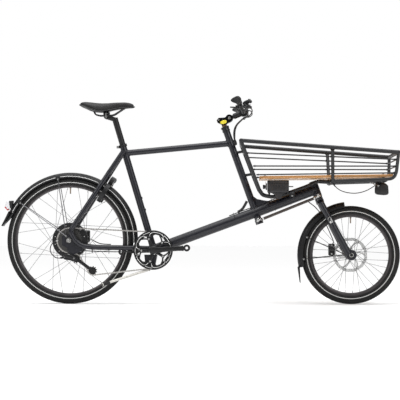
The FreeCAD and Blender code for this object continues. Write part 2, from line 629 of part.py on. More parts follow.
def lock_bolt():
    end = BOLT_FROM + BOLT_SPAN
    bolt = lock_sector(LOCK_R + 3.6, LOCK_R - 3.6, -3.6, 3.6, BOLT_FROM, end)
    thumb = lock_sector(LOCK_R + 3.6, LOCK_R - 3.6, 3.6, 19, end - 9, end)
    return bolt.fuse(thumb)


LAMP_PIVOT = V(921, 0, 612)


def headlight():
    body = plate([(908, 624), (950, 632), (972, 604), (978, 572), (968, 562), (916, 566), (906, 590)],
                 -27, 54)
    ears = block(LAMP_PIVOT, 60, 20.6, 60)
    return body.cut(ears).fuse(rod(LAMP_PIVOT - Y_AXIS * 14, LAMP_PIVOT + Y_AXIS * 14, 8)).cut(
        Part.makeCylinder(21, 14, V(968, 0, 594), V(1, 0, 0.1)))


def lens():
    round_lens = Part.makeCylinder(20.5, 12, V(968.5, 0, 594), V(1, 0, 0.1))
    return round_lens.common(block(V(972, 0, 594), 18, 60, 60))


def headlight_bracket():
    tab = plate([(908, 604), (930, 600), (934, 620), (926, 632), (908, 632)], -10, 20)
    return tab.cut(rod(LAMP_PIVOT - Y_AXIS * 14, LAMP_PIVOT + Y_AXIS * 14, 8.1))


LAMP_CORD_D = 4.5
LAMP_CORD = [V(690, -30, 621), V(704, -29, 603), V(729, -26, 586), V(764, -22, 576), V(806, -16, 573),
             V(848, -10, 582), V(882, -5, 598), V(907, -3, 615)]


def cord_radii(points, name):
    """The largest even arcs that the runs leave room for."""
    radii = []
    for a, b, c in zip(points, points[1:], points[2:]):
        turn = math.pi - (a - b).getAngle(c - b)
        radii.append(0.45 * min((a - b).Length, (c - b).Length) / math.tan(turn / 2))
    print(name, "arc radii", [round(r) for r in radii])
    return radii


def cord(points, d, name):
    radii = cord_radii(points, name)
    solid = pipe(points, radii, d)
    length = path(points, radii).Length
    print(name, "length", round(length), "volume over section times length",
          round(solid.Volume / (math.pi * d * d / 4 * length), 4))
    return solid


# Steering column and cockpit

def steering_column():
    """Steerer tube with a collar above its top bearing and the side arm under its bottom one."""
    low, high = on_axis(STEER_POINT, COLUMN_LOW - 22), on_axis(STEER_POINT, COLUMN_HIGH + 27)
    body = rod(low, high, STEERER_D)
    body = body.fuse(rod(on_axis(STEER_POINT, COLUMN_HIGH + CUP_H + 0.3), high, 38))
    arm_low = COLUMN_PIVOT_T - 12
    arm = leaning(Part.makeBox(26, ARM, 8.5, V(-13, -ARM, arm_low)), STEER_POINT)
    hub = rod(low, on_axis(STEER_POINT, COLUMN_LOW - CUP_H - 0.3), 40)
    stud = ball_stud(STEER_POINT, arm_low, 8.5, COLUMN_PIVOT_T)
    return fuse([body, hub, arm, *stud]).cut(rod(low, high, COLUMN_BORE))


def ball_stud(origin, arm_low, thickness, pivot_t):
    """The round tip of a steering arm and the stud that the rod's eye turns on."""
    tip = rod(on_axis(origin, arm_low, 0, -ARM), on_axis(origin, arm_low + thickness, 0, -ARM), 25)
    stud = rod(on_axis(origin, arm_low + 1, 0, -ARM), on_axis(origin, pivot_t + 15, 0, -ARM), 9)
    return [tip, stud]


def steering_rod():
    """Tie rod from the column's arm to the fork's arm, with an eye at each end."""
    rear = on_axis(STEER_POINT, COLUMN_PIVOT_T, 0, -ARM)
    front = on_axis(FORK_POINT, FORK_PIVOT_T, 0, -ARM)
    along = (on_axis(FORK_POINT, FORK_PIVOT_T, -10, -ARM) - on_axis(STEER_POINT, COLUMN_PIVOT_T, 10, -ARM))
    up = on_axis(V(), 1)
    eyes = [ring(p + up * 6, up, 12, r, 10) for p, r in ((rear, 4.55), (front, 4.9))]
    along.normalize()
    bar = rod(rear + up * 6 + along * 11, front + up * 6 - along * 11, 15)
    for p, r in ((rear, 12), (front, 12)):
        bar = bar.cut(disc(p + up * 6, up, 9, 30))
    return fuse([bar] + eyes)


def lifter():
    """Height tube that slides in the column, with a forked head for the stem."""
    low, high = on_axis(STEER_POINT, 60), on_axis(STEER_POINT, 256)
    tube_part = tube(low, high, LIFTER_D, 2)
    head = plate([(90, 942), (86, 954), (96, 966), (128, 968), (151, 983), (168, 975), (171, 960), (160, 946),
                  (140, 936), (134, 926), (110, 932)], -19, 38)
    knuckle = disc(STEM_PIVOT, Y_AXIS, 19.5, 38)
    slot = disc(STEM_PIVOT, Y_AXIS, 22, 20.4)
    bore = rod(STEM_PIVOT - Y_AXIS * 30, STEM_PIVOT + Y_AXIS * 30, 8.1)
    front = plate([(150, 940), (200, 940), (200, 1000), (150, 990)], -10.2, 20.4)
    return tube_part.fuse(head).fuse(knuckle).cut(slot).cut(front).cut(bore)


def stem():
    """Arm from the angle pivot to the handlebar clamp, with its pivot bolt."""
    along = BAR_CLAMP - STEM_PIVOT
    arm = rod(STEM_PIVOT, BAR_CLAMP, 20).common(block(STEM_PIVOT, 400, 19.8, 400))
    shaft = rod(STEM_PIVOT + V(along).normalize() * 24, BAR_CLAMP, 30)
    knuckle = disc(STEM_PIVOT, Y_AXIS, 18, 19.8)
    clamp = rod(BAR_CLAMP - Y_AXIS * 22, BAR_CLAMP + Y_AXIS * 22, 44)
    bolt = rod(STEM_PIVOT - Y_AXIS * 22, STEM_PIVOT + Y_AXIS * 22, 8)
    heads = [disc(STEM_PIVOT + Y_AXIS * y, Y_AXIS, 7, 4) for y in (-21.3, 21.3)]
    body = fuse([arm, shaft, knuckle, clamp, bolt] + heads)
    return body.cut(rod(BAR_CLAMP - Y_AXIS * 40, BAR_CLAMP + Y_AXIS * 40, 31.8))


BAR_RADII = [70, 45, 45, 70]


def bar_points():
    left = [V(p.x, -p.y, p.z) for p in (BAR_END, BAR_RISE, BAR_BEND)]
    return left + [BAR_BEND, BAR_RISE, BAR_END]


def handlebar():
    bent = pipe(bar_points(), BAR_RADII, BAR_D, 2)
    sleeve = rod(BAR_CLAMP - Y_AXIS * 32, BAR_CLAMP + Y_AXIS * 32, 31.8).cut(
        rod(BAR_CLAMP - Y_AXIS * 32, BAR_CLAMP + Y_AXIS * 32, BAR_D - 4))
    return bent.fuse(sleeve)


def grip():
    """Rubber grip with a broad palm rest at its outer end."""
    along = (BAR_END - BAR_RISE).normalize()
    inner, outer = BAR_END - along * 128, BAR_END
    body = rod(inner, outer + along * 3, GRIP_D)
    palm = rod(outer - along * 52, outer + along * 3, 40)
    wing = Part.makeBox(34, 48, 14, outer - along * 49 + V(-46, -24, -4))
    wing = wing.makeFillet(5, wing.Edges)
    body = body.fuse(palm).fuse(wing.translated(V(0, 23, 0)))
    return body.cut(rod(inner, outer, BAR_D))


def lever_clamp():
    """Bar clamp and fluid cylinder of a brake lever."""
    centre = V(205.5, -150, 1033) + (BAR_END - BAR_RISE).normalize() * 34
    along = (BAR_END - BAR_RISE).normalize()
    band = rod(centre - along * 8, centre + along * 8, 32)
    cylinder = rod(V(236, -120, 1012), V(243, -176, 1016), 20)
    arm = rod(centre, V(238, -180, 1018), 14)
    yoke = disc(LEVER_PIVOT, lever_axis(), 9, 26)
    body = fuse([band, cylinder, arm, yoke]).cut(disc(LEVER_PIVOT, lever_axis(), 24, 11.4))
    body = body.cut(disc(LEVER_PIVOT, lever_axis(), 3.05, 60))
    body = body.cut(rod(centre - along * 20, centre + along * 20, BAR_D))
    return max(body.Solids, key=lambda s: s.Volume)


def lever_axis():
    reach = V(-0.468, 0, 0.884)  # from the lever towards the grip
    return Y_AXIS.cross(reach)


def brake_lever():
    blade = pipe([LEVER_PIVOT, LEVER_PIVOT + V(4, -34, -10), LEVER_TIP], 40, 11)
    eye = disc(LEVER_PIVOT, lever_axis(), 8.5, 10.8)
    pin = disc(LEVER_PIVOT, lever_axis(), 3, 25)
    end = Part.makeSphere(7, LEVER_TIP)
    return fuse([blade, eye, pin, end])


def shifter():
    """Thumb paddle on its own pivot below the bar."""
    pivot = disc(SHIFT_PIVOT, V(0, 0, 1), 8, 6)
    paddle = plate_flat([(196, -168), (196, -178), (170, -196), (158, -196), (160, -186), (180, -168)],
                        SHIFT_PIVOT.z - 3, 6)
    return pivot.fuse(paddle).cut(disc(SHIFT_PIVOT, V(0, 0, 1), 3.05, 30))


def plate_flat(points, z, thickness):
    outline = [V(x, y, z) for x, y in points]
    return Part.Face(Part.makePolygon(outline + outline[:1])).extrude(V(0, 0, thickness))


def shift_pod():
    """Housing that clamps the shifter under the bar, with a gear window."""
    pin = rod(SHIFT_PIVOT - V(0, 0, 6), SHIFT_PIVOT + V(0, 0, 6), 6)
    top = disc(SHIFT_PIVOT + V(4, 0, 7), V(0, 0, 1), 15, 7.4)
    neck = rod(SHIFT_PIVOT + V(4, 0, 8), V(203.5, -162, 1034), 12)
    band = rod(V(203.5, -157, 1034), V(203.2, -169, 1034), 31)
    return fuse([pin, top, neck, band]).cut(pipe(bar_points(), BAR_RADII, BAR_D))


def bell():
    band = rod(V(217, 92, 1010), V(215.5, 99, 1013), 31)
    dome = Part.makeSphere(20, V(240, 96, 1030)).common(block(V(240, 96, 1042), 60, 60, 30))
    post = rod(V(222, 96, 1016), V(238, 96, 1032), 8)
    return fuse([band, dome, post]).cut(pipe(bar_points(), BAR_RADII, BAR_D))


# Fork

def fork():
    """Crown, two tapered legs with axle ends, steerer and the steering arm."""
    steerer = rod(on_axis(FORK_POINT, -20), on_axis(FORK_POINT, 90), STEERER_D)
    cap = rod(on_axis(FORK_POINT, 82.3), on_axis(FORK_POINT, 87), 50).fuse(
        taper(on_axis(FORK_POINT, 87), on_axis(FORK_POINT, 94), 50, 34))
    top = on_axis(FORK_POINT, -18.5)
    crown = fuse([rod(top + V(0, -54, 0), top + V(0, 54, 0), 34),
                  rod(on_axis(FORK_POINT, -28), on_axis(FORK_POINT, -0.5), 42)])
    parts = [steerer, cap, crown]
    leg_top, leg_low = top + V(4, -54, -8), FRONT_AXLE + V(-14, -69, 2)
    leg = taper(leg_top, leg_low, 32, 38)
    leg = leg.fuse(Part.makeSphere(16, leg_top)).fuse(disc(FRONT_AXLE - Y_AXIS * 60.5, Y_AXIS, 27, 21))
    parts += both_sides(leg)
    arm_low = FORK_PIVOT_T - 12
    arm = leaning(Part.makeBox(24, ARM - 14, 7, V(-12, -ARM, arm_low)), FORK_POINT)
    body = fuse(parts + [arm, *ball_stud(FORK_POINT, arm_low, 7, FORK_PIVOT_T)])
    return body.cut(rod(FRONT_AXLE - Y_AXIS * 90, FRONT_AXLE + Y_AXIS * 90, 10.0)).cut(
        disc(FRONT_AXLE, Y_AXIS, 120, FRONT_OLD - 1)).cut(disc(FRONT_AXLE, Y_AXIS, 11.5, 2 * 76.6).cut(
            disc(FRONT_AXLE, Y_AXIS, 12, 2 * 71.4)))


def front_mudguard():
    blade = about_axle(guard_section(FRONT_AXLE, 246, 30, 2), FRONT_AXLE, 97, 194)
    flap = plate([(512, 200), (516, 196), (520, 112), (516, 112), (505, 190)], -28, 56)
    parts = [blade, flap.cut(blade)]
    for degrees in (158.0, 185.0):
        high = at_angle(FRONT_AXLE, 244, degrees, 0)
        wire = [V(high.x, -32, high.z), V(high.x + 50, -61, high.z * 0.75 + 64), V(754, -66, 256)]
        parts += both_sides(pipe(wire, 30, 3.5))
        parts += strut_pair((high.x, high.z), (high.x + 3, high.z), -29, -35, 8)
    stay = rod(on_axis(FORK_POINT, -29, -2), on_axis(FORK_POINT, -58, -6), 12)
    parts.append(stay)
    return fuse(parts).cut(fork())


def caliper(centre, axle):
    """Two-piston brake caliper that straddles its rotor."""
    body = block(centre, 34, 28, 62)
    body = body.makeFillet(6, body.Edges)
    return body.cut(disc(V(axle.x, centre.y, axle.z), Y_AXIS, 91.5, 3.4))


# Saddle and seatpost

def seatpost():
    low, high = (on_axis(BB, t, angle=SEAT_ANGLE) for t in (400, 716))
    post = rod(low, high, SEAT_TUBE_D - 2 * SEAT_TUBE_WALL - 0.1)
    head = rod(on_axis(BB, 708, angle=SEAT_ANGLE), V(-484, 0, 972), 24)
    saddle_seat = rod(V(-488, -24, 974), V(-488, 24, 974), 26)
    bore = rod(on_axis(BB, 399, angle=SEAT_ANGLE), on_axis(BB, 700, angle=SEAT_ANGLE), 24)
    return fuse([post, head, saddle_seat]).cut(bore)


RAIL_POINTS = [V(-556, -24, 1010), V(-546, -23, 985), V(-520, -22, 979), V(-450, -22, 981),
               V(-400, -16, 1014)]


def saddle_rails():
    """Two bent rails and the clamp plate that holds them on the seatpost."""
    rail = pipe(RAIL_POINTS, [14, 30, 50], 7)
    clamp = rod(V(-505, 0, 990), V(-471, 0, 990), 16).common(block(V(-488, 0, 996), 34, 40, 20))
    bar = block(V(-488, 0, 987.5), 30, 56, 8)
    body = fuse([*both_sides(rail), bar, clamp])
    return body.cut(rod(V(-488, -24, 974), V(-488, 24, 974), 26.4))


def saddle():
    """Simple closed solid of the padded saddle: broad at the back, narrow at the nose."""
    profile = [(-629, 1044), (-617, 1052), (-570, 1046), (-510, 1043), (-450, 1047), (-400, 1049),
               (-362, 1047), (-341, 1036), (-340, 1027), (-370, 1020), (-412, 1022), (-470, 1010),
               (-514, 996), (-552, 1000),
               (-600, 1026)]
    plan = [(-629, 20), (-620, 62), (-590, 77), (-545, 74), (-500, 50), (-450, 30), (-400, 21), (-355, 19),
            (-340, 10)]
    side = plate(profile, -80, 160)
    outline = plan + [(x, -y) for x, y in reversed(plan)]
    body = side.common(plate_flat(outline, 980, 90))
    core = plate([(-600, 1000), (-350, 1000), (-350, 1014), (-600, 1018)], -19, 38)
    body = body.cut(block(V(-488, 0, 998), 250, 62, 28)).cut(core)
    return max(body.Solids, key=lambda s: s.Volume)


# Cables and hoses

def hoses():
    """Brake hoses and gear cable from the cockpit to the head tube: these bend as the bar turns."""
    front = [V(226, -26, 965), V(204, -16, 947), V(184, -10, 926), V(175, -9, 899), V(174, -9, 872),
             V(178, -9, 850)]
    second = [p + V(6, 17, 3) for p in front[:-1]] + [V(180, 9, 853)]
    return [pipe(points, [30, 40, 60, 90], 5) for points in (front, second)]


def frame_cables():
    """Cables held along the frame: behind the head tube, on the boom, under the chainstay, and both ends."""
    runs = [
        ([V(243, 0, 534), V(228, 0, 505), V(213, 0, 486), V(195, 0, 477)], [40, 30], 10),
        ([V(150, 14, 457.5), V(235, 12, 490), V(262, 21, 499)], 60, 5),
        ([V(336, 22, 526), V(420, 20, 560), V(505, 18, 593)], 300, 5),
        ([V(-594, -69, 277), V(-555, -69, 275), V(-500, -62, 272.5), V(-420, -56, 271),
          V(-340, -40, 271)], 150, 5),
        ([V(-706, -72, 241), V(-735, -72, 236), V(-760, -70, 251), V(-777, -68, 281), V(-763, -66, 322),
          V(-733, -64, 330)], [18, 26, 40, 20], 5),
        ([V(-571, 55, 335), V(-545, 62, 318), V(-510, 66, 309), V(-470, 59, 309)], [30, 60], 5),
    ]
    return [pipe(*run).cut(derailleur_body()) for run in runs]


def build():
    node("boom_tube", *boom())
    node("head_tubes", *head_tubes())
    node("upper_frame", upper_frame())
    right_stay = rear_stay()
    node("rear_stay_right", right_stay)
    node("rear_stay_left", mirrored(right_stay))
    node("bearing_cups", *bearing_cups())
    node("seat_collar", seat_collar())
    right_side = basket_side()
    node("basket_side_right", right_side)
    node("basket_side_left", mirrored(right_side))
    node("basket_cradle", *basket_cradle(right_side.fuse(mirrored(right_side))))
    node("basket_deck", deck())
    node("control_box", control_box())
    node("headlight", headlight())
    node("headlight_lens", lens())
    node("headlight_cable", cord(LAMP_CORD, LAMP_CORD_D, "headlight_cable"))
    node("rear_mudguard", *rear_mudguard())
    node("tail_light", tail_light())
    node("ring_lock", ring_lock())
    node("lock_bolt", lock_bolt())
    wheel("rear", REAR_AXLE, REAR_TYRE_R, REAR_TYRE_SECTION, REAR_RIM_R, 32, MOTOR_FLANGE_R, 18, 4.0)
    wheel("front", FRONT_AXLE, FRONT_TYRE_R, FRONT_TYRE_SECTION, FRONT_RIM_R, 32, 27.4, 28, 4.0)
    node("rear_hub_motor", hub_motor())
    node("rear_axle", rear_axle())
    node("rear_rotor", rotor(REAR_AXLE, 52, 90, 15))
    node("front_hub", front_hub())
    node("front_axle", front_axle())
    node("front_rotor", rotor(FRONT_AXLE, 41, 90, 18))
    node("front_caliper", caliper(V(683, 41, 282), FRONT_AXLE))
    node("rear_caliper", caliper(V(-596, 52, 352), REAR_AXLE))
    node("cassette", cassette())
    node("crank_arms", crankset())
    node("chainring", chainring())
    node("chain", *chain())
    node("derailleur_body", derailleur_body())
    node("derailleur_cage", derailleur_cage())
    node("guide_pulley", pulley(GUIDE))
    node("tension_pulley", pulley(TENSION))
    node("stand_bracket", stand_bracket())
    node("kickstand", stand())
    node("steering_column", steering_column())
    node("steering_rod", steering_rod())
    node("lifter_tube", lifter())
    node("stem", stem())
    node("handlebar", handlebar())
    node("grips", *both_sides(grip()))
    node("bar_controls", *both_sides(lever_clamp()), shift_pod(), bell())
    node("brake_lever_right", brake_lever())
    node("brake_lever_left", mirrored(brake_lever()))
    node("shift_lever", shifter())
    node("fork", fork())
    node("front_mudguard", front_mudguard())
    node("seatpost", seatpost())
    node("saddle_rails", saddle_rails())
    node("saddle", saddle())
    node("steering_hoses", *hoses())
    node("frame_cables", *frame_cables())


build()
for name, shape in NODES.items():
    shape.exportStep(f"parts/{name}.step")
print(len(NODES), "nodes")
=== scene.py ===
"""Cargo bicycle with a load basket over a small front wheel: surfaces, fittings and soft parts."""
import bpy
import bmesh
import json
import math
import random
from mathutils import Matrix, Vector


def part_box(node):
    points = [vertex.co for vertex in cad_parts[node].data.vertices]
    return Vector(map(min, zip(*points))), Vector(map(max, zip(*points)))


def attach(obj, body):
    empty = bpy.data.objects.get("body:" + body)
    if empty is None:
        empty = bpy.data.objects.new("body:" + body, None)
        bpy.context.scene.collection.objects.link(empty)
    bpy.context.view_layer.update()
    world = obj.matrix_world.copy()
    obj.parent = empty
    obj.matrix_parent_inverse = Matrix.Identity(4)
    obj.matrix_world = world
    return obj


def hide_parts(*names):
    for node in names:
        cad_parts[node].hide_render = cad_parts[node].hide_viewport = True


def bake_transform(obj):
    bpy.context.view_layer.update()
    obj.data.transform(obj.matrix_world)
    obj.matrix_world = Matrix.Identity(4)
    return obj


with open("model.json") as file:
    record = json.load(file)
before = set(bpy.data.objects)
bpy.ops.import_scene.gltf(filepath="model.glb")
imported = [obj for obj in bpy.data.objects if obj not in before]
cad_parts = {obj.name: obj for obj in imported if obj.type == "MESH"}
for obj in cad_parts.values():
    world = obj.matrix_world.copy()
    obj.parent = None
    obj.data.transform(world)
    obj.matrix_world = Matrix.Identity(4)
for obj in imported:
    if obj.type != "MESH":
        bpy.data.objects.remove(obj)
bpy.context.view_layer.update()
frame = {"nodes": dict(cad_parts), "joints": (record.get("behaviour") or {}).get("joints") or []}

# --- Studio -------------------------------------------------------------------------------------
# A white floor and backdrop, a room that is bright overhead and dim round the sides, and three
# soft lamps. The camera stands level with the wheels, far off on the right side.
CAMERA_PLACE = Vector((0.2587, -8.3, 0.384))
CAMERA_TARGET = Vector((-0.001, 0.0, 0.540))
CAMERA_LENS = 143.8
FLOOR_HALF = 30.0
FLOOR_WHITE = (0.95, 0.95, 0.95, 1)
FLOOR_GLOW = (0.05, 0.05, 0.05, 1)


def link(thing):
    bpy.context.scene.collection.objects.link(thing)
    return thing


camera = link(bpy.data.objects.new("camera", bpy.data.cameras.new("camera")))
camera.data.lens = CAMERA_LENS
camera.data.clip_end = 100
camera.location = CAMERA_PLACE
camera.rotation_euler = (CAMERA_TARGET - CAMERA_PLACE).to_track_quat("-Z", "Y").to_euler()
bpy.context.scene.camera = camera

sheet = bpy.data.meshes.new("floor")
sheet.from_pydata([(-FLOOR_HALF, -FLOOR_HALF, 0), (FLOOR_HALF, -FLOOR_HALF, 0),
                   (FLOOR_HALF, FLOOR_HALF, 0), (-FLOOR_HALF, FLOOR_HALF, 0)], [], [(0, 1, 2, 3)])
floor = link(bpy.data.objects.new("floor", sheet))
floor_paint = bpy.data.materials.new("floor_white")
floor_paint.use_nodes = True
floor_paint.node_tree.nodes["Principled BSDF"].inputs["Base Color"].default_value = FLOOR_WHITE
floor_paint.node_tree.nodes["Principled BSDF"].inputs["Roughness"].default_value = 0.9
floor_paint.node_tree.nodes["Principled BSDF"].inputs["Emission Color"].default_value = FLOOR_GLOW
floor_paint.node_tree.nodes["Principled BSDF"].inputs["Emission Strength"].default_value = 1.0
sheet.materials.append(floor_paint)

room = bpy.data.worlds.new("room")
room.use_nodes = True
wires, make = room.node_tree.links, room.node_tree.nodes.new
overhead = room.node_tree.nodes["Background"]
overhead.inputs["Color"].default_value = (1, 1, 1, 1)
heading, split, height = make("ShaderNodeTexCoord"), make("ShaderNodeSeparateXYZ"), make("ShaderNodeMapRange")
wires.new(heading.outputs["Generated"], split.inputs[0])
wires.new(split.outputs["Z"], height.inputs["Value"])
for socket, value in (("From Min", 0.15), ("From Max", 0.95), ("To Min", 0.10), ("To Max", 1.5)):
    height.inputs[socket].default_value = value
wires.new(height.outputs[0], overhead.inputs["Strength"])
backdrop, ray, choose = make("ShaderNodeBackground"), make("ShaderNodeLightPath"), make("ShaderNodeMixShader")
backdrop.inputs["Color"].default_value = (1, 1, 1, 1)
backdrop.inputs["Strength"].default_value = 1.0
wires.new(ray.outputs["Is Camera Ray"], choose.inputs[0])
wires.new(overhead.outputs[0], choose.inputs[1])
wires.new(backdrop.outputs[0], choose.inputs[2])
wires.new(choose.outputs[0], room.node_tree.nodes["World Output"].inputs["Surface"])
bpy.context.scene.world = room
bpy.context.scene.view_settings.view_transform = "Standard"

for lamp_name, place, size, watts in (("lamp_over", (0.2, -0.6, 3.6), 3.2, 75),
                                      ("lamp_front", (2.8, -3.4, 2.4), 1.4, 34),
                                      ("lamp_back", (-3.2, -2.6, 2.6), 1.4, 26)):
    lamp = link(bpy.data.objects.new(lamp_name, bpy.data.lights.new(lamp_name, "AREA")))
    lamp.data.size = size
    lamp.data.energy = watts
    lamp.location = place
    lamp.rotation_euler = (Vector((0, 0, 0.4)) - Vector(place)).to_track_quat("-Z", "Y").to_euler()

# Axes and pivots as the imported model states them.
pivot = {j["name"]: Vector(j["pos_m"]) for j in frame["joints"] if j["type"] == "hinge"}
REAR, FRONT, BRACKET = pivot["rear_wheel_spin"], pivot["front_wheel_spin"], pivot["crank_spin"]
HEAD, CROWN = pivot["steering_turn"], pivot["fork_turn"]
head_axis = next(Vector(j["axis"]) for j in frame["joints"] if j["name"] == "steering_turn").normalized()
seat_axis = next(Vector(j["axis"]) for j in frame["joints"] if j["name"] == "seat_height").normalized()
SIDEWAYS = Vector((0, 1, 0))


def mm(x, y, z):
    """A point given in millimetres."""
    return Vector((x, y, z)) / 1000

# --- Painted frame ------------------------------------------------------------------------------
# Hydroformed and round aluminium tubes, welded, then sprayed in a satin blue-black lacquer. The
# lacquer has a faint orange peel, and a fine pale flake that shows only close up.


class Shade:
    """One socket of a material's nodes. Arithmetic on it adds Math nodes."""

    def __init__(self, tree, socket=None):
        self.tree, self.socket = tree, socket

    def add(self, kind, settings=(), sockets=(), out=0):
        """Adds a node: its settings first, then the values or links of its sockets."""
        node = self.tree.nodes.new(kind)
        for key, value in dict(settings).items():
            if key == "stops":
                elements = node.color_ramp.elements
                while len(elements) < len(value):
                    elements.new(1.0)
                for element, (place, tone) in zip(elements, value):
                    element.position = place
                    element.color = (*tone, 1) if len(tone) == 3 else tone
            else:
                setattr(node, key, value)
        for key, value in dict(sockets).items():
            if isinstance(value, Shade):
                self.tree.links.new(value.socket, node.inputs[key])
            else:
                node.inputs[key].default_value = value
        return Shade(self.tree, node.outputs[out])

    def _math(self, operation, a, b=0.0):
        return self.add("ShaderNodeMath", {"operation": operation}, {0: a, 1: b})

    def __add__(self, other):
        return self._math("ADD", self, other)

    __radd__ = __add__

    def __sub__(self, other):
        return self._math("SUBTRACT", self, other)

    def __rsub__(self, other):
        return self._math("SUBTRACT", other, self)

    def __mul__(self, other):
        return self._math("MULTIPLY", self, other)

    __rmul__ = __mul__

    def __truediv__(self, other):
        return self._math("DIVIDE", self, other)

    def __gt__(self, other):
        return self._math("GREATER_THAN", self, other)

    def __lt__(self, other):
        return self._math("LESS_THAN", self, other)

    def __pow__(self, other):
        return self._math("POWER", self, other)

    def within(self, low, high):
        """1 between two values, else 0."""
        return (self > low) * (self < high)

    def noise(self, scale, detail=2.0, roughness=0.5):
        """Noise over the piece at this many cells a metre, from 0 to 1."""
        return self.add("ShaderNodeTexNoise", {}, {"Vector": self.place(), "Scale": scale, "Detail": detail,
                                                   "Roughness": roughness})

    def place(self):
        """The point on the piece, in the bicycle's frame."""
        return self.add("ShaderNodeTexCoord", out="Object")

    def axes(self):
        """x, y and z of the point."""
        split = self.add("ShaderNodeSeparateXYZ", {}, {0: self.place()})
        return [Shade(self.tree, split.socket.node.outputs[i]) for i in range(3)]

    def mix(self, mask, a, b):
        """Colour a where the mask is 0, b where it is 1."""
        return self.add("ShaderNodeMix", {"data_type": "RGBA"}, {0: mask, 6: a, 7: b}, out=2)

    def ramp(self, value, *stops):
        return self.add("ShaderNodeValToRGB", {"stops": stops}, {0: value})

    def radius(self, centre):
        """Distance from an axle that lies across the bicycle."""
        x, _, z = self.axes()
        across = (x - centre.x) * (x - centre.x) + (z - centre.z) * (z - centre.z)
        return self._math("SQRT", across)

    def turn(self, centre):
        """Angle round an axle that lies across the bicycle, in radians."""
        x, _, z = self.axes()
        return self._math("ARCTAN2", z - centre.z, x - centre.x)

    def wave(self, value):
        return self._math("SINE", value)


def surface(name, colour, roughness, metallic=0.0, **fixed):
    """A new material with even sockets set, and the Shade that its detail starts from."""
    material = bpy.data.materials.new(name)
    material.use_nodes = True
    shader = material.node_tree.nodes["Principled BSDF"]
    shader.inputs["Base Color"].default_value = (*colour, 1)
    shader.inputs["Roughness"].default_value = roughness
    shader.inputs["Metallic"].default_value = metallic
    for key, value in fixed.items():
        shader.inputs[key.replace("_", " ")].default_value = value
    return material, Shade(material.node_tree)


def plug(material, socket, value):
    """Links a shade into one of the material's shader sockets."""
    shader = material.node_tree.nodes["Principled BSDF"]
    material.node_tree.links.new(value.socket, shader.inputs[socket])


def bump(material, shade, height, distance, strength=1.0):
    """Relief of the given depth in metres."""
    plug(material, "Normal", shade.add("ShaderNodeBump", {}, {"Height": height, "Distance": distance,
                                                            "Strength": strength}))


def dress(material, *names):
    """Gives CAD nodes this material."""
    for name in names:
        slots = frame["nodes"][name].data.materials
        slots.clear()
        slots.append(material)


def lacquer(name, tone, roughness):
    """Satin paint: soft mottling, orange peel, and dust-dulled patches."""
    material, shade = surface(name, tone, roughness, Coat_Weight=0.12, Coat_Roughness=0.25,
                              Specular_IOR_Level=0.4)
    cloud = shade.noise(9.0, 3.0)
    flake = shade.noise(4200.0, 0.0)
    light = tuple(c * 1.5 + 0.002 for c in tone)
    plug(material, "Base Color", shade.mix(cloud * 0.45 + (flake > 0.68) * 0.5, (*tone, 1), (*light, 1)))
    plug(material, "Roughness", cloud * 0.14 + (roughness - 0.07))
    bump(material, shade, shade.noise(520.0, 1.0), 0.00012, 0.5)
    return material


frame_paint = lacquer("frame_lacquer", (0.0062, 0.0065, 0.0105), 0.30)
dress(frame_paint, "boom_tube", "head_tubes", "upper_frame", "rear_stay_left", "rear_stay_right",
      "stand_bracket", "steering_column")


def smooth(mesh, angle=35):
    """Smooth shading with creases where faces meet more sharply than the angle."""
    work = bmesh.new()
    work.from_mesh(mesh)
    for face in work.faces:
        face.smooth = True
    for edge in work.edges:
        edge.smooth = len(edge.link_faces) == 2 and edge.calc_face_angle(0) < math.radians(angle)
    work.to_mesh(mesh)
    work.free()


def piece(name, points, faces, material, body=None, slot=None, angle=35):
    """A finished mesh piece with outward faces that rides on a body."""
    mesh = bpy.data.meshes.new(name)
    mesh.from_pydata([tuple(p) for p in points], [], faces)
    work = bmesh.new()
    work.from_mesh(mesh)
    bmesh.ops.remove_doubles(work, verts=work.verts, dist=1e-6)
    bmesh.ops.recalc_face_normals(work, faces=work.faces)
    work.to_mesh(mesh)
    work.free()
    smooth(mesh, angle)
    mesh.materials.append(material)
    made = link(bpy.data.objects.new(name, mesh))
    if body:
        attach(made, body)
    return made


def joined(*meshes):
    """Several (points, faces) shapes as one."""
    points, faces = [], []
    for some_points, some_faces in meshes:
        faces += [tuple(i + len(points) for i in face) for face in some_faces]
        points += [Vector(p) for p in some_points]
    return points, faces


def rings(loops, closed=False, caps=True):
    """A skin over loops of points that all have the same count."""
    count, total = len(loops[0]), len(loops)
    points = [p for loop in loops for p in loop]
    faces = []
    for i in range(total if closed else total - 1):
        for k in range(count):
            a, b = i * count + k, i * count + (k + 1) % count
            j = (i + 1) % total
            faces.append((a, b, j * count + (k + 1) % count, j * count + k))
    if caps and not closed:
        faces += [tuple(range(count))[::-1], tuple((total - 1) * count + k for k in range(count))]
    return points, faces


def square_to(along):
    """Two directions square to one another and to the given one."""
    along = along.normalized()
    first = along.cross(SIDEWAYS if abs(along.y) < 0.9 else Vector((1, 0, 0))).normalized()
    return first, along.cross(first).normalized()


def lathe(centre, along, profile, steps=48):
    """A turned shape from (distance along the axis, radius) steps, in metres."""
    first, second = square_to(along)
    along = along.normalized()
    loops = []
    for reach, r in profile:
        ring = []
        for k in range(steps):
            a = math.tau * k / steps
            ring.append(centre + along * reach + (first * math.cos(a) + second * math.sin(a)) * max(r, 1e-5))
        loops.append(ring)
    return rings(loops)


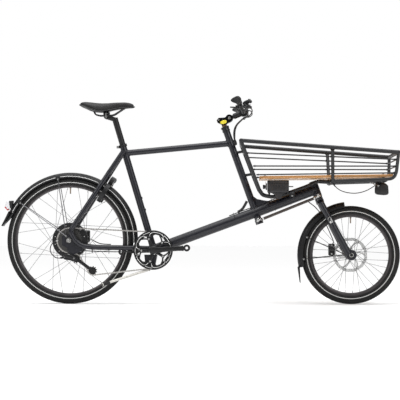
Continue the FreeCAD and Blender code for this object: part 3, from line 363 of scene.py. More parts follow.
def tube_along(points, radius, steps=12, closed=False, shape=None):
    """A tube through points that lie close together; radius may be a list. shape squeezes it."""
    loops = []
    total = len(points)
    radii = radius if isinstance(radius, list) else [radius] * total
    previous = None
    for i, p in enumerate(points):
        before = points[i - 1] if i or closed else p
        after = points[(i + 1) % total] if i + 1 < total or closed else p
        along = (after - before).normalized()
        first = square_to(along)[0] if previous is None else (previous - along * previous.dot(along)).normalized()
        previous = first
        second = along.cross(first)
        wide, high = shape or (1, 1)
        loops.append([p + (first * math.cos(a) * wide + second * math.sin(a) * high) * radii[i]
                      for a in (math.tau * k / steps for k in range(steps))])
    return rings(loops, closed=closed)


# Weld beads: overlapping drops of filler laid round each joint. The bead follows the line where
# one round tube meets the other, and is sprayed over with the frame.
BEAD_R = 0.0034
BEAD_DROP = 0.0052


def meeting_line(root, along, radius, onto_root, onto_along, onto_radius, count=260):
    """Where a tube's skin first meets another round tube, going along from the root."""
    along, onto_along = along.normalized(), onto_along.normalized()
    first, second = square_to(along)
    line = []
    for k in range(count):
        a = math.tau * k / count
        start = root + (first * math.cos(a) + second * math.sin(a)) * radius
        gap = start - onto_root
        gap -= onto_along * gap.dot(onto_along)
        step = along - onto_along * along.dot(onto_along)
        qa, qb, qc = step.dot(step), 2 * gap.dot(step), gap.dot(gap) - onto_radius ** 2
        inside = qb * qb - 4 * qa * qc
        if inside < 0:
            continue
        line.append(start + along * ((-qb - math.sqrt(inside)) / (2 * qa)))
    return line


def bead(line, width=BEAD_R):
    """A rippled bead along a closed line."""
    length = sum((b - a).length for a, b in zip(line, line[1:] + line[:1]))
    drops = round(length / BEAD_DROP)
    radii = [width * (0.86 + 0.14 * abs(math.cos(math.pi * drops * i / len(line)))) for i in range(len(line))]
    return tube_along(line, radii, 8, closed=True)


SEAT_TUBE_R, TOP_TUBE_R, HEAD_R, FORK_HEAD_R, BOOM_R = 0.01745, 0.0159, 0.018, 0.022, 0.027
SEAT_JOINT = BRACKET + seat_axis * 0.525
HEAD_JOINT = mm(144.4, 0, 832.9)
BOOM_KINK, BOOM_END = mm(284.7, 0, 474.3), mm(600.5, 0, 595.3)
top_run = HEAD_JOINT - SEAT_JOINT
first_run, second_run = BOOM_KINK - BRACKET, BOOM_END - BOOM_KINK
welds = [
    bead(meeting_line(SEAT_JOINT + top_run * 0.5, -top_run, TOP_TUBE_R, SEAT_JOINT, seat_axis, SEAT_TUBE_R)),
    bead(meeting_line(SEAT_JOINT + top_run * 0.5, top_run, TOP_TUBE_R, HEAD, head_axis, HEAD_R)),
    bead(meeting_line(BRACKET + seat_axis * 0.2, -seat_axis, SEAT_TUBE_R, BRACKET, first_run, BOOM_R)),
    bead(meeting_line(BOOM_KINK + second_run * 0.6, second_run, BOOM_R, CROWN, head_axis, FORK_HEAD_R)),
    bead(meeting_line(HEAD + head_axis * -0.08, -head_axis, HEAD_R, BOOM_KINK, first_run, BOOM_R)),
]
piece("frame_welds", *joined(*welds), frame_paint, "frame", "frame_paint", angle=60)

# --- Fasteners ----------------------------------------------------------------------------------
# Socket-head screws in stainless and black steel: a knurled round head with a hex socket. They
# hold the discs, calipers, clamps, brackets and lamps, and are laid by one node tree.


def metal(name, tone, roughness, grain=60.0, streak=0.10, wear=0.3):
    """Bare or plated metal with fine scratches and a cloudy sheen."""
    material, shade = surface(name, tone, roughness, 1.0)
    cloud = shade.noise(grain, 4.0)
    fine = shade.noise(1900.0, 1.0)
    dull = tuple(c * (1 - wear) for c in tone)
    plug(material, "Base Color", shade.mix(cloud, (*dull, 1), (*tone, 1)))
    plug(material, "Roughness", (cloud + fine) * streak + (roughness - streak))
    bump(material, shade, fine, 0.00003, 0.4)
    return material


stainless = metal("stainless_steel", (0.62, 0.62, 0.61), 0.26)
black_steel = metal("blackened_steel", (0.05, 0.05, 0.052), 0.38)


def socket_screw():
    """A screw head one metre across, standing on its base, to be scaled by the tree."""
    six = 6
    steps = 24
    loops = []
    for height, r in ((0, 0.5), (0.34, 0.5), (0.42, 0.45)):
        loops.append([Vector((math.cos(math.tau * k / steps) * r, math.sin(math.tau * k / steps) * r, height))
                      for k in range(steps)])
    for height in (0.42, 0.12):
        hexagon = []
        for k in range(steps):
            a = math.tau * k / steps
            edge = 0.27 * math.cos(math.pi / six) / math.cos((a % (math.tau / six)) - math.pi / six)
            hexagon.append(Vector((math.cos(a) * edge, math.sin(a) * edge, height)))
        loops.append(hexagon)
    points, faces = rings(loops)
    mesh = bpy.data.meshes.new("screw_head")
    mesh.from_pydata([tuple(p) for p in points], [], faces)
    smooth(mesh, 30)
    return mesh


def repeat_tree(name):
    """Sets one shape on every point, turned so that its +Z follows the point's 'out' attribute
    and its +X the 'along' attribute, and sized by 'size'."""
    tree = bpy.data.node_groups.new(name, "GeometryNodeTree")
    tree.interface.new_socket("Geometry", in_out="INPUT", socket_type="NodeSocketGeometry")
    tree.interface.new_socket("Shape", in_out="INPUT", socket_type="NodeSocketObject")
    tree.interface.new_socket("Finish", in_out="INPUT", socket_type="NodeSocketMaterial")
    tree.interface.new_socket("Size", in_out="INPUT", socket_type="NodeSocketFloat")
    tree.interface.new_socket("Geometry", in_out="OUTPUT", socket_type="NodeSocketGeometry")
    make = tree.nodes.new
    entry, leave = make("NodeGroupInput"), make("NodeGroupOutput")

    def attribute(label, kind):
        node = make("GeometryNodeInputNamedAttribute")
        node.data_type = kind
        node.inputs["Name"].default_value = label
        return node.outputs["Attribute"]

    def align(rotation, vector, axis, pivot_axis="AUTO"):
        node = make("FunctionNodeAlignRotationToVector")
        node.axis, node.pivot_axis = axis, pivot_axis
        if rotation:
            tree.links.new(rotation, node.inputs["Rotation"])
        tree.links.new(vector, node.inputs["Vector"])
        return node.outputs["Rotation"]

    turned = align(align(None, attribute("out", "FLOAT_VECTOR"), "Z"), attribute("along", "FLOAT_VECTOR"),
                   "X", "Z")
    shape = make("GeometryNodeObjectInfo")
    tree.links.new(entry.outputs["Shape"], shape.inputs["Object"])
    sized = make("ShaderNodeMath")
    sized.operation = "MULTIPLY"
    tree.links.new(entry.outputs["Size"], sized.inputs[0])
    tree.links.new(attribute("size", "FLOAT"), sized.inputs[1])
    place = make("GeometryNodeInstanceOnPoints")
    tree.links.new(entry.outputs["Geometry"], place.inputs["Points"])
    tree.links.new(shape.outputs["Geometry"], place.inputs["Instance"])
    tree.links.new(turned, place.inputs["Rotation"])
    tree.links.new(sized.outputs[0], place.inputs["Scale"])
    solid = make("GeometryNodeRealizeInstances")
    tree.links.new(place.outputs["Instances"], solid.inputs["Geometry"])
    finish = make("GeometryNodeSetMaterial")
    tree.links.new(solid.outputs["Geometry"], finish.inputs["Geometry"])
    tree.links.new(entry.outputs["Finish"], finish.inputs["Material"])
    tree.links.new(finish.outputs["Geometry"], leave.inputs["Geometry"])
    return tree


laying = repeat_tree("lay_shapes")


def lay(name, shape, spots, body, material, size=1.0):
    """Lays a shape at spots, each (point, outward direction, size) or with a direction to face."""
    mesh = bpy.data.meshes.new(name + "_spots")
    mesh.from_pydata([tuple(s[0]) for s in spots], [], [])
    for label, kind in (("out", "FLOAT_VECTOR"), ("along", "FLOAT_VECTOR"), ("size", "FLOAT")):
        mesh.attributes.new(label, kind, "POINT")
    for i, spot in enumerate(spots):
        mesh.attributes["out"].data[i].vector = spot[1]
        mesh.attributes["size"].data[i].value = spot[2]
        mesh.attributes["along"].data[i].vector = spot[3] if len(spot) > 3 else square_to(spot[1])[0]
    source = link(bpy.data.objects.new(name + "_source", shape))
    made = link(bpy.data.objects.new(name, mesh))
    maker = made.modifiers.new("lay", "NODES")
    maker.node_group = laying
    sockets = {s.name: s.identifier for s in laying.interface.items_tree if s.in_out == "INPUT"}
    maker[sockets["Shape"]] = source
    maker[sockets["Finish"]] = material
    maker[sockets["Size"]] = size
    bpy.context.view_layer.update()
    result = bpy.data.meshes.new_from_object(made.evaluated_get(bpy.context.evaluated_depsgraph_get()))
    made.modifiers.remove(maker)
    made.data = result
    result.name = name
    for label in ("out", "along", "size"):
        if label in result.attributes:
            result.attributes.remove(result.attributes[label])
    bpy.data.objects.remove(source)
    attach(made, body)
    return made


screw_head = socket_screw()
across = Vector((0, -1, 0))


def on_wheel(axle, radius, degrees, y=0.0):
    a = math.radians(degrees)
    return Vector((axle.x + radius * math.cos(a), y, axle.z + radius * math.sin(a)))


def circle(axle, radius, count, y, out, size, start=0.0):
    """Spots evenly round an axle."""
    return [(on_wheel(axle, radius, start + 360 * i / count, y), out, size) for i in range(count)]


# --- Tyres --------------------------------------------------------------------------------------
# Puncture-proof city tyres, moulded in matt black rubber. A pale reflective band runs round each
# side wall, with fine moulding ribs beside it, and the crown has staggered blocks and side lugs.


def tyre_rubber(name, axle, band_low, band_high):
    material, shade = surface(name, (0.011, 0.011, 0.011), 0.74, Specular_IOR_Level=0.3)
    r = shade.radius(axle)
    band = r.within(band_low, band_high)
    dust = shade.noise(35.0, 5.0)
    black = shade.mix(dust * 0.6, (0.0070, 0.0070, 0.0073, 1), (0.0200, 0.0195, 0.0185, 1))
    plug(material, "Base Color", shade.mix(band, black, (0.50, 0.50, 0.49, 1)))
    plug(material, "Roughness", dust * 0.15 + 0.68 - band * 0.3)
    ribs = shade.wave(r * 3800.0) * r.within(band_low - 0.022, band_high + 0.008) * (1 - band)
    bump(material, shade, ribs * 0.5 + shade.noise(900.0, 2.0), 0.00025, 0.8)
    return material


def block_shape(length, width, height):
    """A tread block with a smaller top."""
    loops = []
    for z, share in ((-0.6 * height, 1.08), (height * 0.7, 0.92), (height, 0.80)):
        loops.append([Vector((x * length / 2 * share, y * width / 2 * share, z))
                      for x, y in ((-1, -0.7), (-0.7, -1), (0.7, -1), (1, -0.7), (1, 0.7), (0.7, 1),
                                   (-0.7, 1), (-1, 0.7))])
    points, faces = rings(loops)
    mesh = bpy.data.meshes.new("tread_block")
    mesh.from_pydata([tuple(p) for p in points], [], faces[:-2] + faces[-1:])
    return mesh


TREAD_H = 0.0021
WALL_T = 0.003


def tyre(side, axle, outer, half, band, body):
    """Casing turned from its section, and the tread laid in five rows."""
    middle = outer - half
    rubber = tyre_rubber(side + "_tyre_rubber", axle, *band)
    section = []
    casing = half - TREAD_H
    for k in range(33):
        a = math.radians(-134 + 268 * k / 32)
        crown = 1 - 0.02 * math.cos(a)
        section.append((middle + casing * crown * math.cos(a), casing * crown * math.sin(a)))
    inner = [(middle + (casing - WALL_T) * math.cos(a), (casing - WALL_T) * math.sin(a))
             for a in (math.radians(134 - 268 * k / 12) for k in range(13))]
    outline = section + inner
    loops = []
    turns = 144
    for i in range(turns):
        a = math.tau * i / turns
        loops.append([Vector((axle.x + r * math.cos(a), y, axle.z + r * math.sin(a))) for r, y in outline])
    casing_piece = piece(side + "_tyre_casing", *rings(loops, closed=True), rubber, body, "tyre_rubber", 50)
    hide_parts(side + "_tyre")
    rows = ((0, 0.0, 9.5, 7.0), (17, 0.5, 9.0, 6.0), (-17, 0.5, 9.0, 6.0), (36, 0.0, 7.0, 8.0),
            (-36, 0.0, 7.0, 8.0),
            (54, 0.5, 4.6, 9.0), (-54, 0.5, 4.6, 9.0))
    count = round(math.tau * outer / 0.0125)
    for label, chosen in (("crown", rows[:3]), ("shoulder", rows[3:])):
        spots = []
        for tilt, shift, length, width in chosen:
            lean = math.radians(tilt)
            for i in range(count):
                a = math.tau * (i + shift) / count
                outwards = Vector((math.cos(a), 0, math.sin(a)))
                out = outwards * math.cos(lean) + SIDEWAYS * math.sin(lean)
                at = axle + outwards * middle + out * (casing * (1 - 0.02 * math.cos(lean)))
                spots.append((at, out, 1.0, outwards.cross(SIDEWAYS)))
        first = chosen[0]
        shape = block_shape(first[2] / 1000, first[3] / 1000, TREAD_H * 0.8)
        lay(f"{side}_tread_{label}", shape, spots, body, rubber)


tyre("rear", REAR, 0.330, 0.0255, (0.2994, 0.3030), "rear_wheel")
tyre("front", FRONT, 0.255, 0.0265, (0.2240, 0.2276), "front_wheel")


# --- Rims, valves, spokes and nipples -----------------------------------------------------------
# Double-wall alloy rims, black anodised, with brass nipples and a brass valve with a black cap.
# The butted stainless spokes are laced from the motor's flange behind and from a small hub ahead.
rim_black, shade = surface("rim_anodised", (0.05, 0.047, 0.048), 0.36, 0.85)
dull = shade.noise(25.0, 4.0)
plug(rim_black, "Roughness", dull * 0.16 + 0.26)
plug(rim_black, "Base Color", shade.mix(dull, (0.045, 0.042, 0.043, 1), (0.085, 0.078, 0.080, 1)))
bump(rim_black, shade, shade.wave(shade.radius(REAR) * 9000.0), 0.00002, 0.4)
dress(rim_black, "rear_rim", "front_rim")

spoke_steel = metal("spoke_steel", (0.26, 0.26, 0.265), 0.34)
dress(spoke_steel, "rear_spokes", "front_spokes")
brass = metal("nickelled_brass", (0.30, 0.24, 0.19), 0.32)

NIPPLE = 0.0036
for side, axle, rim_r, spokes, body in (("rear", REAR, 0.275, 32, "rear_wheel"),
                                        ("front", FRONT, 0.196, 32, "front_wheel")):
    spots = []
    for i in range(spokes):
        off_centre = 0.003 + (0.001 if i % 4 < 2 else -0.001)
        at = on_wheel(axle, rim_r + 0.0015, (i + 0.25) * 360 / spokes, (1 if i % 2 else -1) * off_centre)
        spots.append((at, (axle - at).normalized(), NIPPLE))
    turned = [(0, 0.72), (0.5, 0.72), (0.6, 0.5), (3.2, 0.44), (3.4, 0.30)]
    points, faces = lathe(Vector(), Vector((0, 0, 1)), turned, 10)
    nipple = bpy.data.meshes.new("nipple")
    nipple.from_pydata([tuple(p) for p in points], [], faces)
    smooth(nipple)
    lay(side + "_nipples", nipple, spots, body, stainless)
    top = on_wheel(axle, rim_r - 0.001, 90)
    down = Vector((0, 0, -1))
    stem_profile = [(0, 0.0062), (0.0022, 0.0062), (0.0026, 0.0036), (0.012, 0.0036), (0.0124, 0.0034),
                    (0.031, 0.0034)]
    piece(side + "_valve", *lathe(top, down, stem_profile, 20), brass, body, "steel")



# --- Discs and calipers -------------------------------------------------------------------------
# Stamped stainless brake discs with a drilled, wavy band on six swept arms. The calipers are
# forged alloy halves in black, joined by steel bolts, with a banjo for the hose.
disc_steel, shade = surface("brake_disc", (0.30, 0.30, 0.30), 0.30, 1.0)


def disc_marks(axle):
    """Concentric brushing left by the pads."""
    return shade.wave(shade.radius(axle) * 14000.0)


rub = shade.noise(160.0, 3.0)
plug(disc_steel, "Base Color", shade.mix(rub, (0.42, 0.42, 0.42, 1), (0.68, 0.68, 0.67, 1)))
plug(disc_steel, "Roughness", rub * 0.2 + 0.18)
bump(disc_steel, shade, disc_marks(FRONT) * 0.5 + disc_marks(REAR) * 0.5, 0.00003, 0.5)


def brake_disc(side, axle, y, body):
    """A drilled band with a wavy outside, swept arms and a bolted centre."""
    work = bmesh.new()
    thick, outer, band_in, steps = 0.0018, 0.0895, 0.0735, 216

    def add(outline, flip=False):
        low = [work.verts.new((axle.x + a, y - thick / 2, axle.z + b)) for a, b in outline]
        high = [work.verts.new((axle.x + a, y + thick / 2, axle.z + b)) for a, b in outline]
        return low, high

    def polar(r, a):
        return r * math.cos(a), r * math.sin(a)

    outside = [polar(outer - 0.0014 * (0.5 + 0.5 * math.cos(12 * math.tau * k / steps)), math.tau * k / steps)
               for k in range(steps)]
    inside = [polar(band_in - 0.0012 * math.cos(12 * math.tau * k / steps),
                    math.tau * k / steps) for k in range(steps)]
    holes = []
    for i in range(36):
        for r, lead in ((0.0775, 0.0), (0.0815, 0.35), (0.0855, 0.7)):
            holes.append((math.tau * (i + lead) / 36, r))
    edges = []
    for low_high in (0, 1):
        level = y + (thick / 2 if low_high else -thick / 2)
        for outline in (outside, inside):
            ring = [work.verts.new((axle.x + a, level, axle.z + b)) for a, b in outline]
            edges += [work.edges.new((ring[k - 1], ring[k])) for k in range(len(ring))]
        for turn, r in holes:
            cx, cz = polar(r, turn)
            ring = [work.verts.new((axle.x + cx + 0.0013 * math.cos(q), level,
                                    axle.z + cz + 0.0013 * math.sin(q)))
                    for q in (math.tau * k / 6 for k in range(6))]
            edges += [work.edges.new((ring[k - 1], ring[k])) for k in range(6)]
        bmesh.ops.triangle_fill(work, use_beauty=True, use_dissolve=False, edges=edges)
        edges = []
    work.verts.ensure_lookup_table()
    half = len(work.verts) // 2
    sizes = [steps, steps] + [6] * len(holes)
    start = 0
    for size in sizes:
        for k in range(size):
            a, b = start + k, start + (k + 1) % size
            work.faces.new((work.verts[a], work.verts[b], work.verts[half + b], work.verts[half + a]))
        start += size
    for i in range(6):
        a, b = math.tau * i / 6 + 0.45, math.tau * i / 6
        middle = (a + b) / 2 + 0.10
        line = [(0.020, a), (0.045, middle), (0.0738, b)]
        left, right = [], []
        for step in range(9):
            s = step / 8
            r = (1 - s) ** 2 * line[0][0] + 2 * s * (1 - s) * line[1][0] + s * s * line[2][0]
            t = (1 - s) ** 2 * line[0][1] + 2 * s * (1 - s) * line[1][1] + s * s * line[2][1]
            w = (0.0055 - 0.0022 * math.sin(math.pi * s)) / r
            left.append(polar(r, t - w))
            right.append(polar(r, t + w))
        low, high = add(left + right[::-1])
        work.faces.new(low)
        work.faces.new(high[::-1])
        for k in range(len(low)):
            work.faces.new((low[k - 1], low[k], high[k], high[k - 1]))
    bmesh.ops.recalc_face_normals(work, faces=work.faces)
    mesh = bpy.data.meshes.new(side + "_brake_disc")
    work.to_mesh(mesh)
    work.free()
    centre_points, centre_faces = lathe(Vector((axle.x, y - thick / 2, axle.z)), SIDEWAYS,
                                        [(0, 0.0165), (0, 0.0265), (thick, 0.0265), (thick, 0.0165),
                                         (0, 0.0165)], 48)
    mesh.materials.append(disc_steel)
    made = link(bpy.data.objects.new(side + "_brake_disc", mesh))
    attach(made, body)
    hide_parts(side + "_rotor")
    piece(side + "_disc_centre", centre_points, centre_faces[:-2], disc_steel, body, "steel")
    return made


brake_disc("front", FRONT, 0.041, "front_wheel")
brake_disc("rear", REAR, 0.052, "rear_wheel")
lay("front_disc_bolts", screw_head, circle(FRONT, 0.022, 6, 0.0401, across, 0.0075), "front_wheel",
    stainless)
lay("rear_disc_bolts", screw_head, circle(REAR, 0.022, 6, 0.0511, across, 0.0075), "rear_wheel", stainless)

black_alloy, shade = surface("black_anodised_alloy", (0.013, 0.013, 0.014), 0.36, 0.4)
haze = shade.noise(40.0, 3.0)
plug(black_alloy, "Base Color", shade.mix(haze, (0.0075, 0.0075, 0.0080, 1), (0.0160, 0.0160, 0.0170, 1)))
plug(black_alloy, "Roughness", haze * 0.15 + 0.30)
bump(black_alloy, shade, shade.noise(1500.0, 2.0), 0.00005, 0.5)
dress(black_alloy, "front_caliper", "rear_caliper", "front_hub", "bearing_cups", "seat_collar", "ring_lock",
      "derailleur_body", "derailleur_cage", "seatpost", "stem", "handlebar", "brake_lever_left",
      "brake_lever_right")


# --- Chainring, cranks and pedal threads --------------------------------------------------------
# A black toothed ring with bright machined teeth between two polished edge rings of the guard, on
# a five-arm spider. The cranks are forged alloy, painted black, each with an open pedal eye.
machined, shade = surface("machined_alloy", (0.70, 0.70, 0.69), 0.24, 1.0)
turning = shade.wave(shade.radius(BRACKET) * 11000.0)
cloud = shade.noise(80.0, 3.0)
plug(machined, "Base Color", shade.mix(cloud, (0.56, 0.56, 0.55, 1), (0.74, 0.74, 0.73, 1)))
plug(machined, "Roughness", cloud * 0.16 + 0.18)
bump(machined, shade, turning, 0.00002, 0.4)
PITCH = 0.0127


def toothed(centre, y, teeth, thick, bore, lobes=0, lobe_depth=0.0):
    """A sprocket plate with rounded valleys and pointed teeth."""
    pitch_r = PITCH / 2 / math.sin(math.pi / teeth)
    outline, inside = [], []
    for i in range(teeth):
        a = math.tau * i / teeth
        step = math.tau / teeth
        for share, r in ((-0.5, pitch_r + 0.0030), (-0.40, pitch_r + 0.0022), (-0.24, pitch_r - 0.0018),
                         (-0.12, pitch_r - 0.0034), (0.0, pitch_r - 0.0038), (0.12, pitch_r - 0.0034),
                         (0.24, pitch_r - 0.0018), (0.40, pitch_r + 0.0022)):
            outline.append((r, a + share * step))
            inner = bore + lobe_depth * (0.5 + 0.5 * math.cos(lobes * (a + share * step))) if lobes else bore
            inside.append((inner, a + share * step))
    loops = []
    for source, level in ((inside, y - thick / 2), (outline, y - thick / 2), (outline, y + thick / 2),
                          (inside, y + thick / 2)):
        loops.append([Vector((centre.x + r * math.cos(a), level, centre.z + r * math.sin(a))) for r,
                      a in source])
    return rings(loops, closed=True)


RING_Y, SPROCKET_Y = -0.058, -0.036
SPIDER_TURN = 3.6 + 36
spider_tips = [(on_wheel(BRACKET, 0.060, SPIDER_TURN + 72 * i, -0.0722), across, 0.0085) for i in range(5)]
teeth_ring = piece("chainring_teeth", *toothed(BRACKET, RING_Y, 46, 0.0034, 0.0775, 5, 0.003), black_alloy,
                   "crankset",
                   "black_alloy")
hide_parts("chainring")
guard_y = RING_Y - 0.0066
guard_profile = [(0.0012, 0.0835), (0.0012, 0.1012), (0.0006, 0.1020), (-0.0012, 0.1020), (-0.0018, 0.1012),
                 (-0.0018, 0.0965), (-0.0012, 0.0960), (-0.0012, 0.0835), (0.0012, 0.0835)]
guard_points, guard_faces = lathe(mm(-241, 0, 280.5) + Vector((0, guard_y, 0)), SIDEWAYS, guard_profile, 120)
piece("chain_guard", guard_points, guard_faces[:-2], black_alloy, "crankset", "black_alloy")
edges = []
for i in range(5):
    arm = SPIDER_TURN + 72 * i
    window = ([(0.0700, 7), (0.0780, 8.5), (0.0860, 12),
               (0.0905, 18)] + [(0.0918, 24 + 3 * k) for k in range(9)]
              + [(0.0905, 54), (0.0860, 60), (0.0780, 63.5), (0.0700, 65)])
    edges.append(tube_along([on_wheel(BRACKET, r, arm + a, guard_y - 0.0019) for r, a in window], 0.0015, 8))
    edges.append(tube_along([on_wheel(BRACKET, 0.0925, arm + 2.4 * k, guard_y - 0.0019) for k in range(-5,
                                                            6)],
                            0.0014, 8))
piece("guard_edges", *joined(*edges), machined, "crankset", "silver_alloy")
webs = []
for i in range(5):
    a = SPIDER_TURN + 72 * i
    webs.append(lathe(on_wheel(BRACKET, 0.060, a, -0.0665), SIDEWAYS, [(0, 0.007), (0.0105, 0.007)], 20))
    path = [on_wheel(BRACKET, 0.058 + 0.024 * k / 6, a + 26 * (k / 6) * side, RING_Y - 0.0040)
            for side in (1,) for k in range(7)]
    webs.append(tube_along(path, 0.0040, 8, shape=(1, 0.5)))
    path = [on_wheel(BRACKET, 0.058 + 0.024 * k / 6, a - 26 * (k / 6), RING_Y - 0.0040) for k in range(7)]
    webs.append(tube_along(path, 0.0040, 8, shape=(1, 0.5)))
piece("chainring_webs", *joined(*webs), black_alloy, "crankset", "black_alloy")
lay("chainring_bolts", screw_head, [(p, o, 0.0105) for p, o, s in spider_tips], "crankset", stainless)


def crank_arm(side):
    """A lofted arm from its boss to its pedal eye, with a long hollow along its outer face."""
    rise = math.radians(3.6)
    run = Vector((math.cos(rise), 0, math.sin(rise))) * -side
    up = Vector((-run.z, 0, run.x)) if side < 0 else Vector((run.z, 0, -run.x))
    centre = BRACKET + SIDEWAYS * side * 0.092
    eye_r, thread_r, steps = 0.0178, 0.00715, 40
    loops = []
    stations = ((-0.0185, 0.003, 0.004), (-0.015, 0.0115, 0.0062), (-0.006, 0.0172, 0.0076),
                (0.006, 0.0180, 0.0078),
                (0.020, 0.0156, 0.0070), (0.040, 0.0136, 0.0064), (0.080, 0.0125, 0.0062),
                (0.120, 0.0122, 0.0062),
                (0.145, 0.0130, 0.0062), (0.1585, 0.0148, 0.0063))
    for reach, half_w, half_t in stations:
        loop = []
        for k in range(24):
            a = math.tau * k / 24
            c, s = math.cos(a), math.sin(a)
            wide = half_w * math.copysign(abs(c) ** 0.55, c)
            deep = half_t * math.copysign(abs(s) ** 0.55, s)
            hollow = 0.0022 if s > 0.6 and abs(c) < 0.7 and 0.03 < reach < 0.15 else 0.0
            loop.append(centre + run * reach + up * wide + SIDEWAYS * side * (deep - hollow))
        loops.append(loop)
    arm = rings(loops)
    eye = centre + run * 0.175
    half = 0.0063
    ring = [(-half, thread_r), (-half, eye_r - 0.0015), (-half + 0.0015, eye_r), (half - 0.0015, eye_r),
            (half, eye_r - 0.0015), (half, thread_r + 0.0012), (half - 0.0012, thread_r), (-half, thread_r)]
    rim_points, rim_faces = lathe(eye, SIDEWAYS, ring, steps)
    return joined(arm, (rim_points, rim_faces[:-2]))


spider = []
for i in range(5):
    a = SPIDER_TURN + 72 * i
    outwards = (on_wheel(BRACKET, 1, a) - BRACKET).normalized()
    sidewise = outwards.cross(SIDEWAYS)
    loops = []
    for reach, half_w, half_t in ((0.010, 0.0115, 0.006), (0.030, 0.0078, 0.0048), (0.052, 0.0072, 0.0036),
                                  (0.062, 0.0082, 0.0032), (0.0685, 0.0052, 0.0028)):
        loops.append([BRACKET + outwards * reach + sidewise * half_w * math.copysign(abs(math.cos(q)) ** 0.6,
                                                            math.cos(q))
                      + SIDEWAYS * (-0.0693 + 0.004 * max(0, 0.03 - reach) / 0.02 + half_t
                                    * math.copysign(abs(math.sin(q)) ** 0.6, math.sin(q)))
                      for q in (math.tau * k / 16 for k in range(16))])
    spider.append(rings(loops))
hub_profile = [(0.0, 0.020), (-0.012, 0.0225), (-0.030, 0.0200), (-0.0345, 0.0150), (-0.0345, 0.0)]
spider.append(lathe(BRACKET + SIDEWAYS * -0.063, SIDEWAYS, hub_profile, 48))
axle_shape = lathe(BRACKET + SIDEWAYS * -0.090, SIDEWAYS, [(0, 0.0119), (0.180, 0.0119)], 32)
cranks = piece("crank_set", *joined(crank_arm(-1), crank_arm(1), axle_shape, *spider), black_alloy,
               "crankset",
               "black_alloy")
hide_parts("crank_arms")
for side, word in ((-1, "right"), (1, "left")):
    cap_at = BRACKET + SIDEWAYS * side * 0.0955
    cap = [(0, 0.0105), (0.0022, 0.0105), (0.0030, 0.0092), (0.0018, 0.0070), (0.0018, 0.0)]
    piece(f"crank_cap_{word}", *lathe(cap_at, SIDEWAYS * side, cap, 32), stainless, "crankset", "steel")


# --- Sprockets, chain and pulleys ---------------------------------------------------------------
# Nine nickelled steel sprockets on the motor's driver, and a narrow roller chain with waisted
# plates that crosses over to the larger ring and back through the two pulleys of the derailleur.
nickel = metal("nickel_plate", (0.11, 0.108, 0.105), 0.36, 120.0, 0.10, 0.35)
oiled, shade = surface("oiled_chain", (0.30, 0.29, 0.27), 0.36, 1.0)
grime = shade.noise(140.0, 4.0)
plug(oiled, "Base Color", shade.mix(grime, (0.22, 0.21, 0.20, 1), (0.72, 0.70, 0.67, 1)))
plug(oiled, "Roughness", grime * 0.25 + 0.24)
bump(oiled, shade, shade.noise(1300.0, 2.0), 0.00005, 0.5)

stack = [toothed(REAR, SPROCKET_Y - 0.0035 * i, teeth, 0.0018, 0.0135) for i, teeth
         in enumerate((32, 28, 24, 21, 18, 16, 14, 12, 11))]
driver = lathe(REAR + SIDEWAYS * -0.0335, -SIDEWAYS,
               [(0, 0.0102), (0, 0.0165), (0.033, 0.0165), (0.0335, 0.0155),
                                                    (0.0335, 0.0102), (0, 0.0102)], 40)
sprockets = piece("sprocket_stack", *joined(*stack, (driver[0], driver[1][:-2])), nickel, "cassette",
                  "chain_steel")
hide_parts("cassette")

GUIDE, TENSION = pivot["cage_swing"], pivot["tension_pulley_spin"]


def chain_route():
    """The closed line of the chain's pins round the sprocket, the ring and the two pulleys."""
    stops = [(REAR, 32, SPROCKET_Y, -1), (BRACKET, 46, RING_Y, -1), (TENSION, 11, SPROCKET_Y, -1),
             (GUIDE, 11, SPROCKET_Y, 1)]
    radius = [PITCH / 2 / math.sin(math.pi / teeth) for _, teeth, _, _ in stops]
    leave, arrive = {}, {}
    for i, (c1, _, y1, s1) in enumerate(stops):
        j = (i + 1) % len(stops)
        c2, _, y2, s2 = stops[j]
        gap = Vector((c2.x - c1.x, 0, c2.z - c1.z))
        lean = math.atan2(gap.z, gap.x) + math.asin((radius[i] * s1 - radius[j] * s2) / gap.length)
        normal = Vector((math.sin(lean), 0, -math.cos(lean)))
        leave[i] = Vector((c1.x, y1, c1.z)) + normal * radius[i] * s1
        arrive[j] = Vector((c2.x, y2, c2.z)) + normal * radius[j] * s2
    line = []
    for i, (c, _, y, s) in enumerate(stops):
        a = math.atan2(arrive[i].z - c.z, arrive[i].x - c.x)
        b = math.atan2(leave[i].z - c.z, leave[i].x - c.x)
        turn = (b - a) % math.tau if s > 0 else -((a - b) % math.tau)
        steps = 60
        line += [Vector((c.x + radius[i] * math.cos(a + turn * k / steps), y,
                         c.z + radius[i] * math.sin(a + turn * k / steps)))
                 for k in range(steps + 1)]
    return line


def even_spots(line, spacing):
    """Points at even steps along a closed line, in an even number."""
    lengths = [(b - a).length for a, b in zip(line, line[1:] + line[:1])]
    total = sum(lengths)
    count = 2 * round(total / spacing / 2)
    spots, walked, i = [], 0.0, 0
    for k in range(count):
        goal = total * k / count
        while walked + lengths[i] < goal:
            walked += lengths[i]
            i += 1
        share = (goal - walked) / lengths[i]
        spots.append(line[i].lerp(line[(i + 1) % len(line)], share))
    return spots


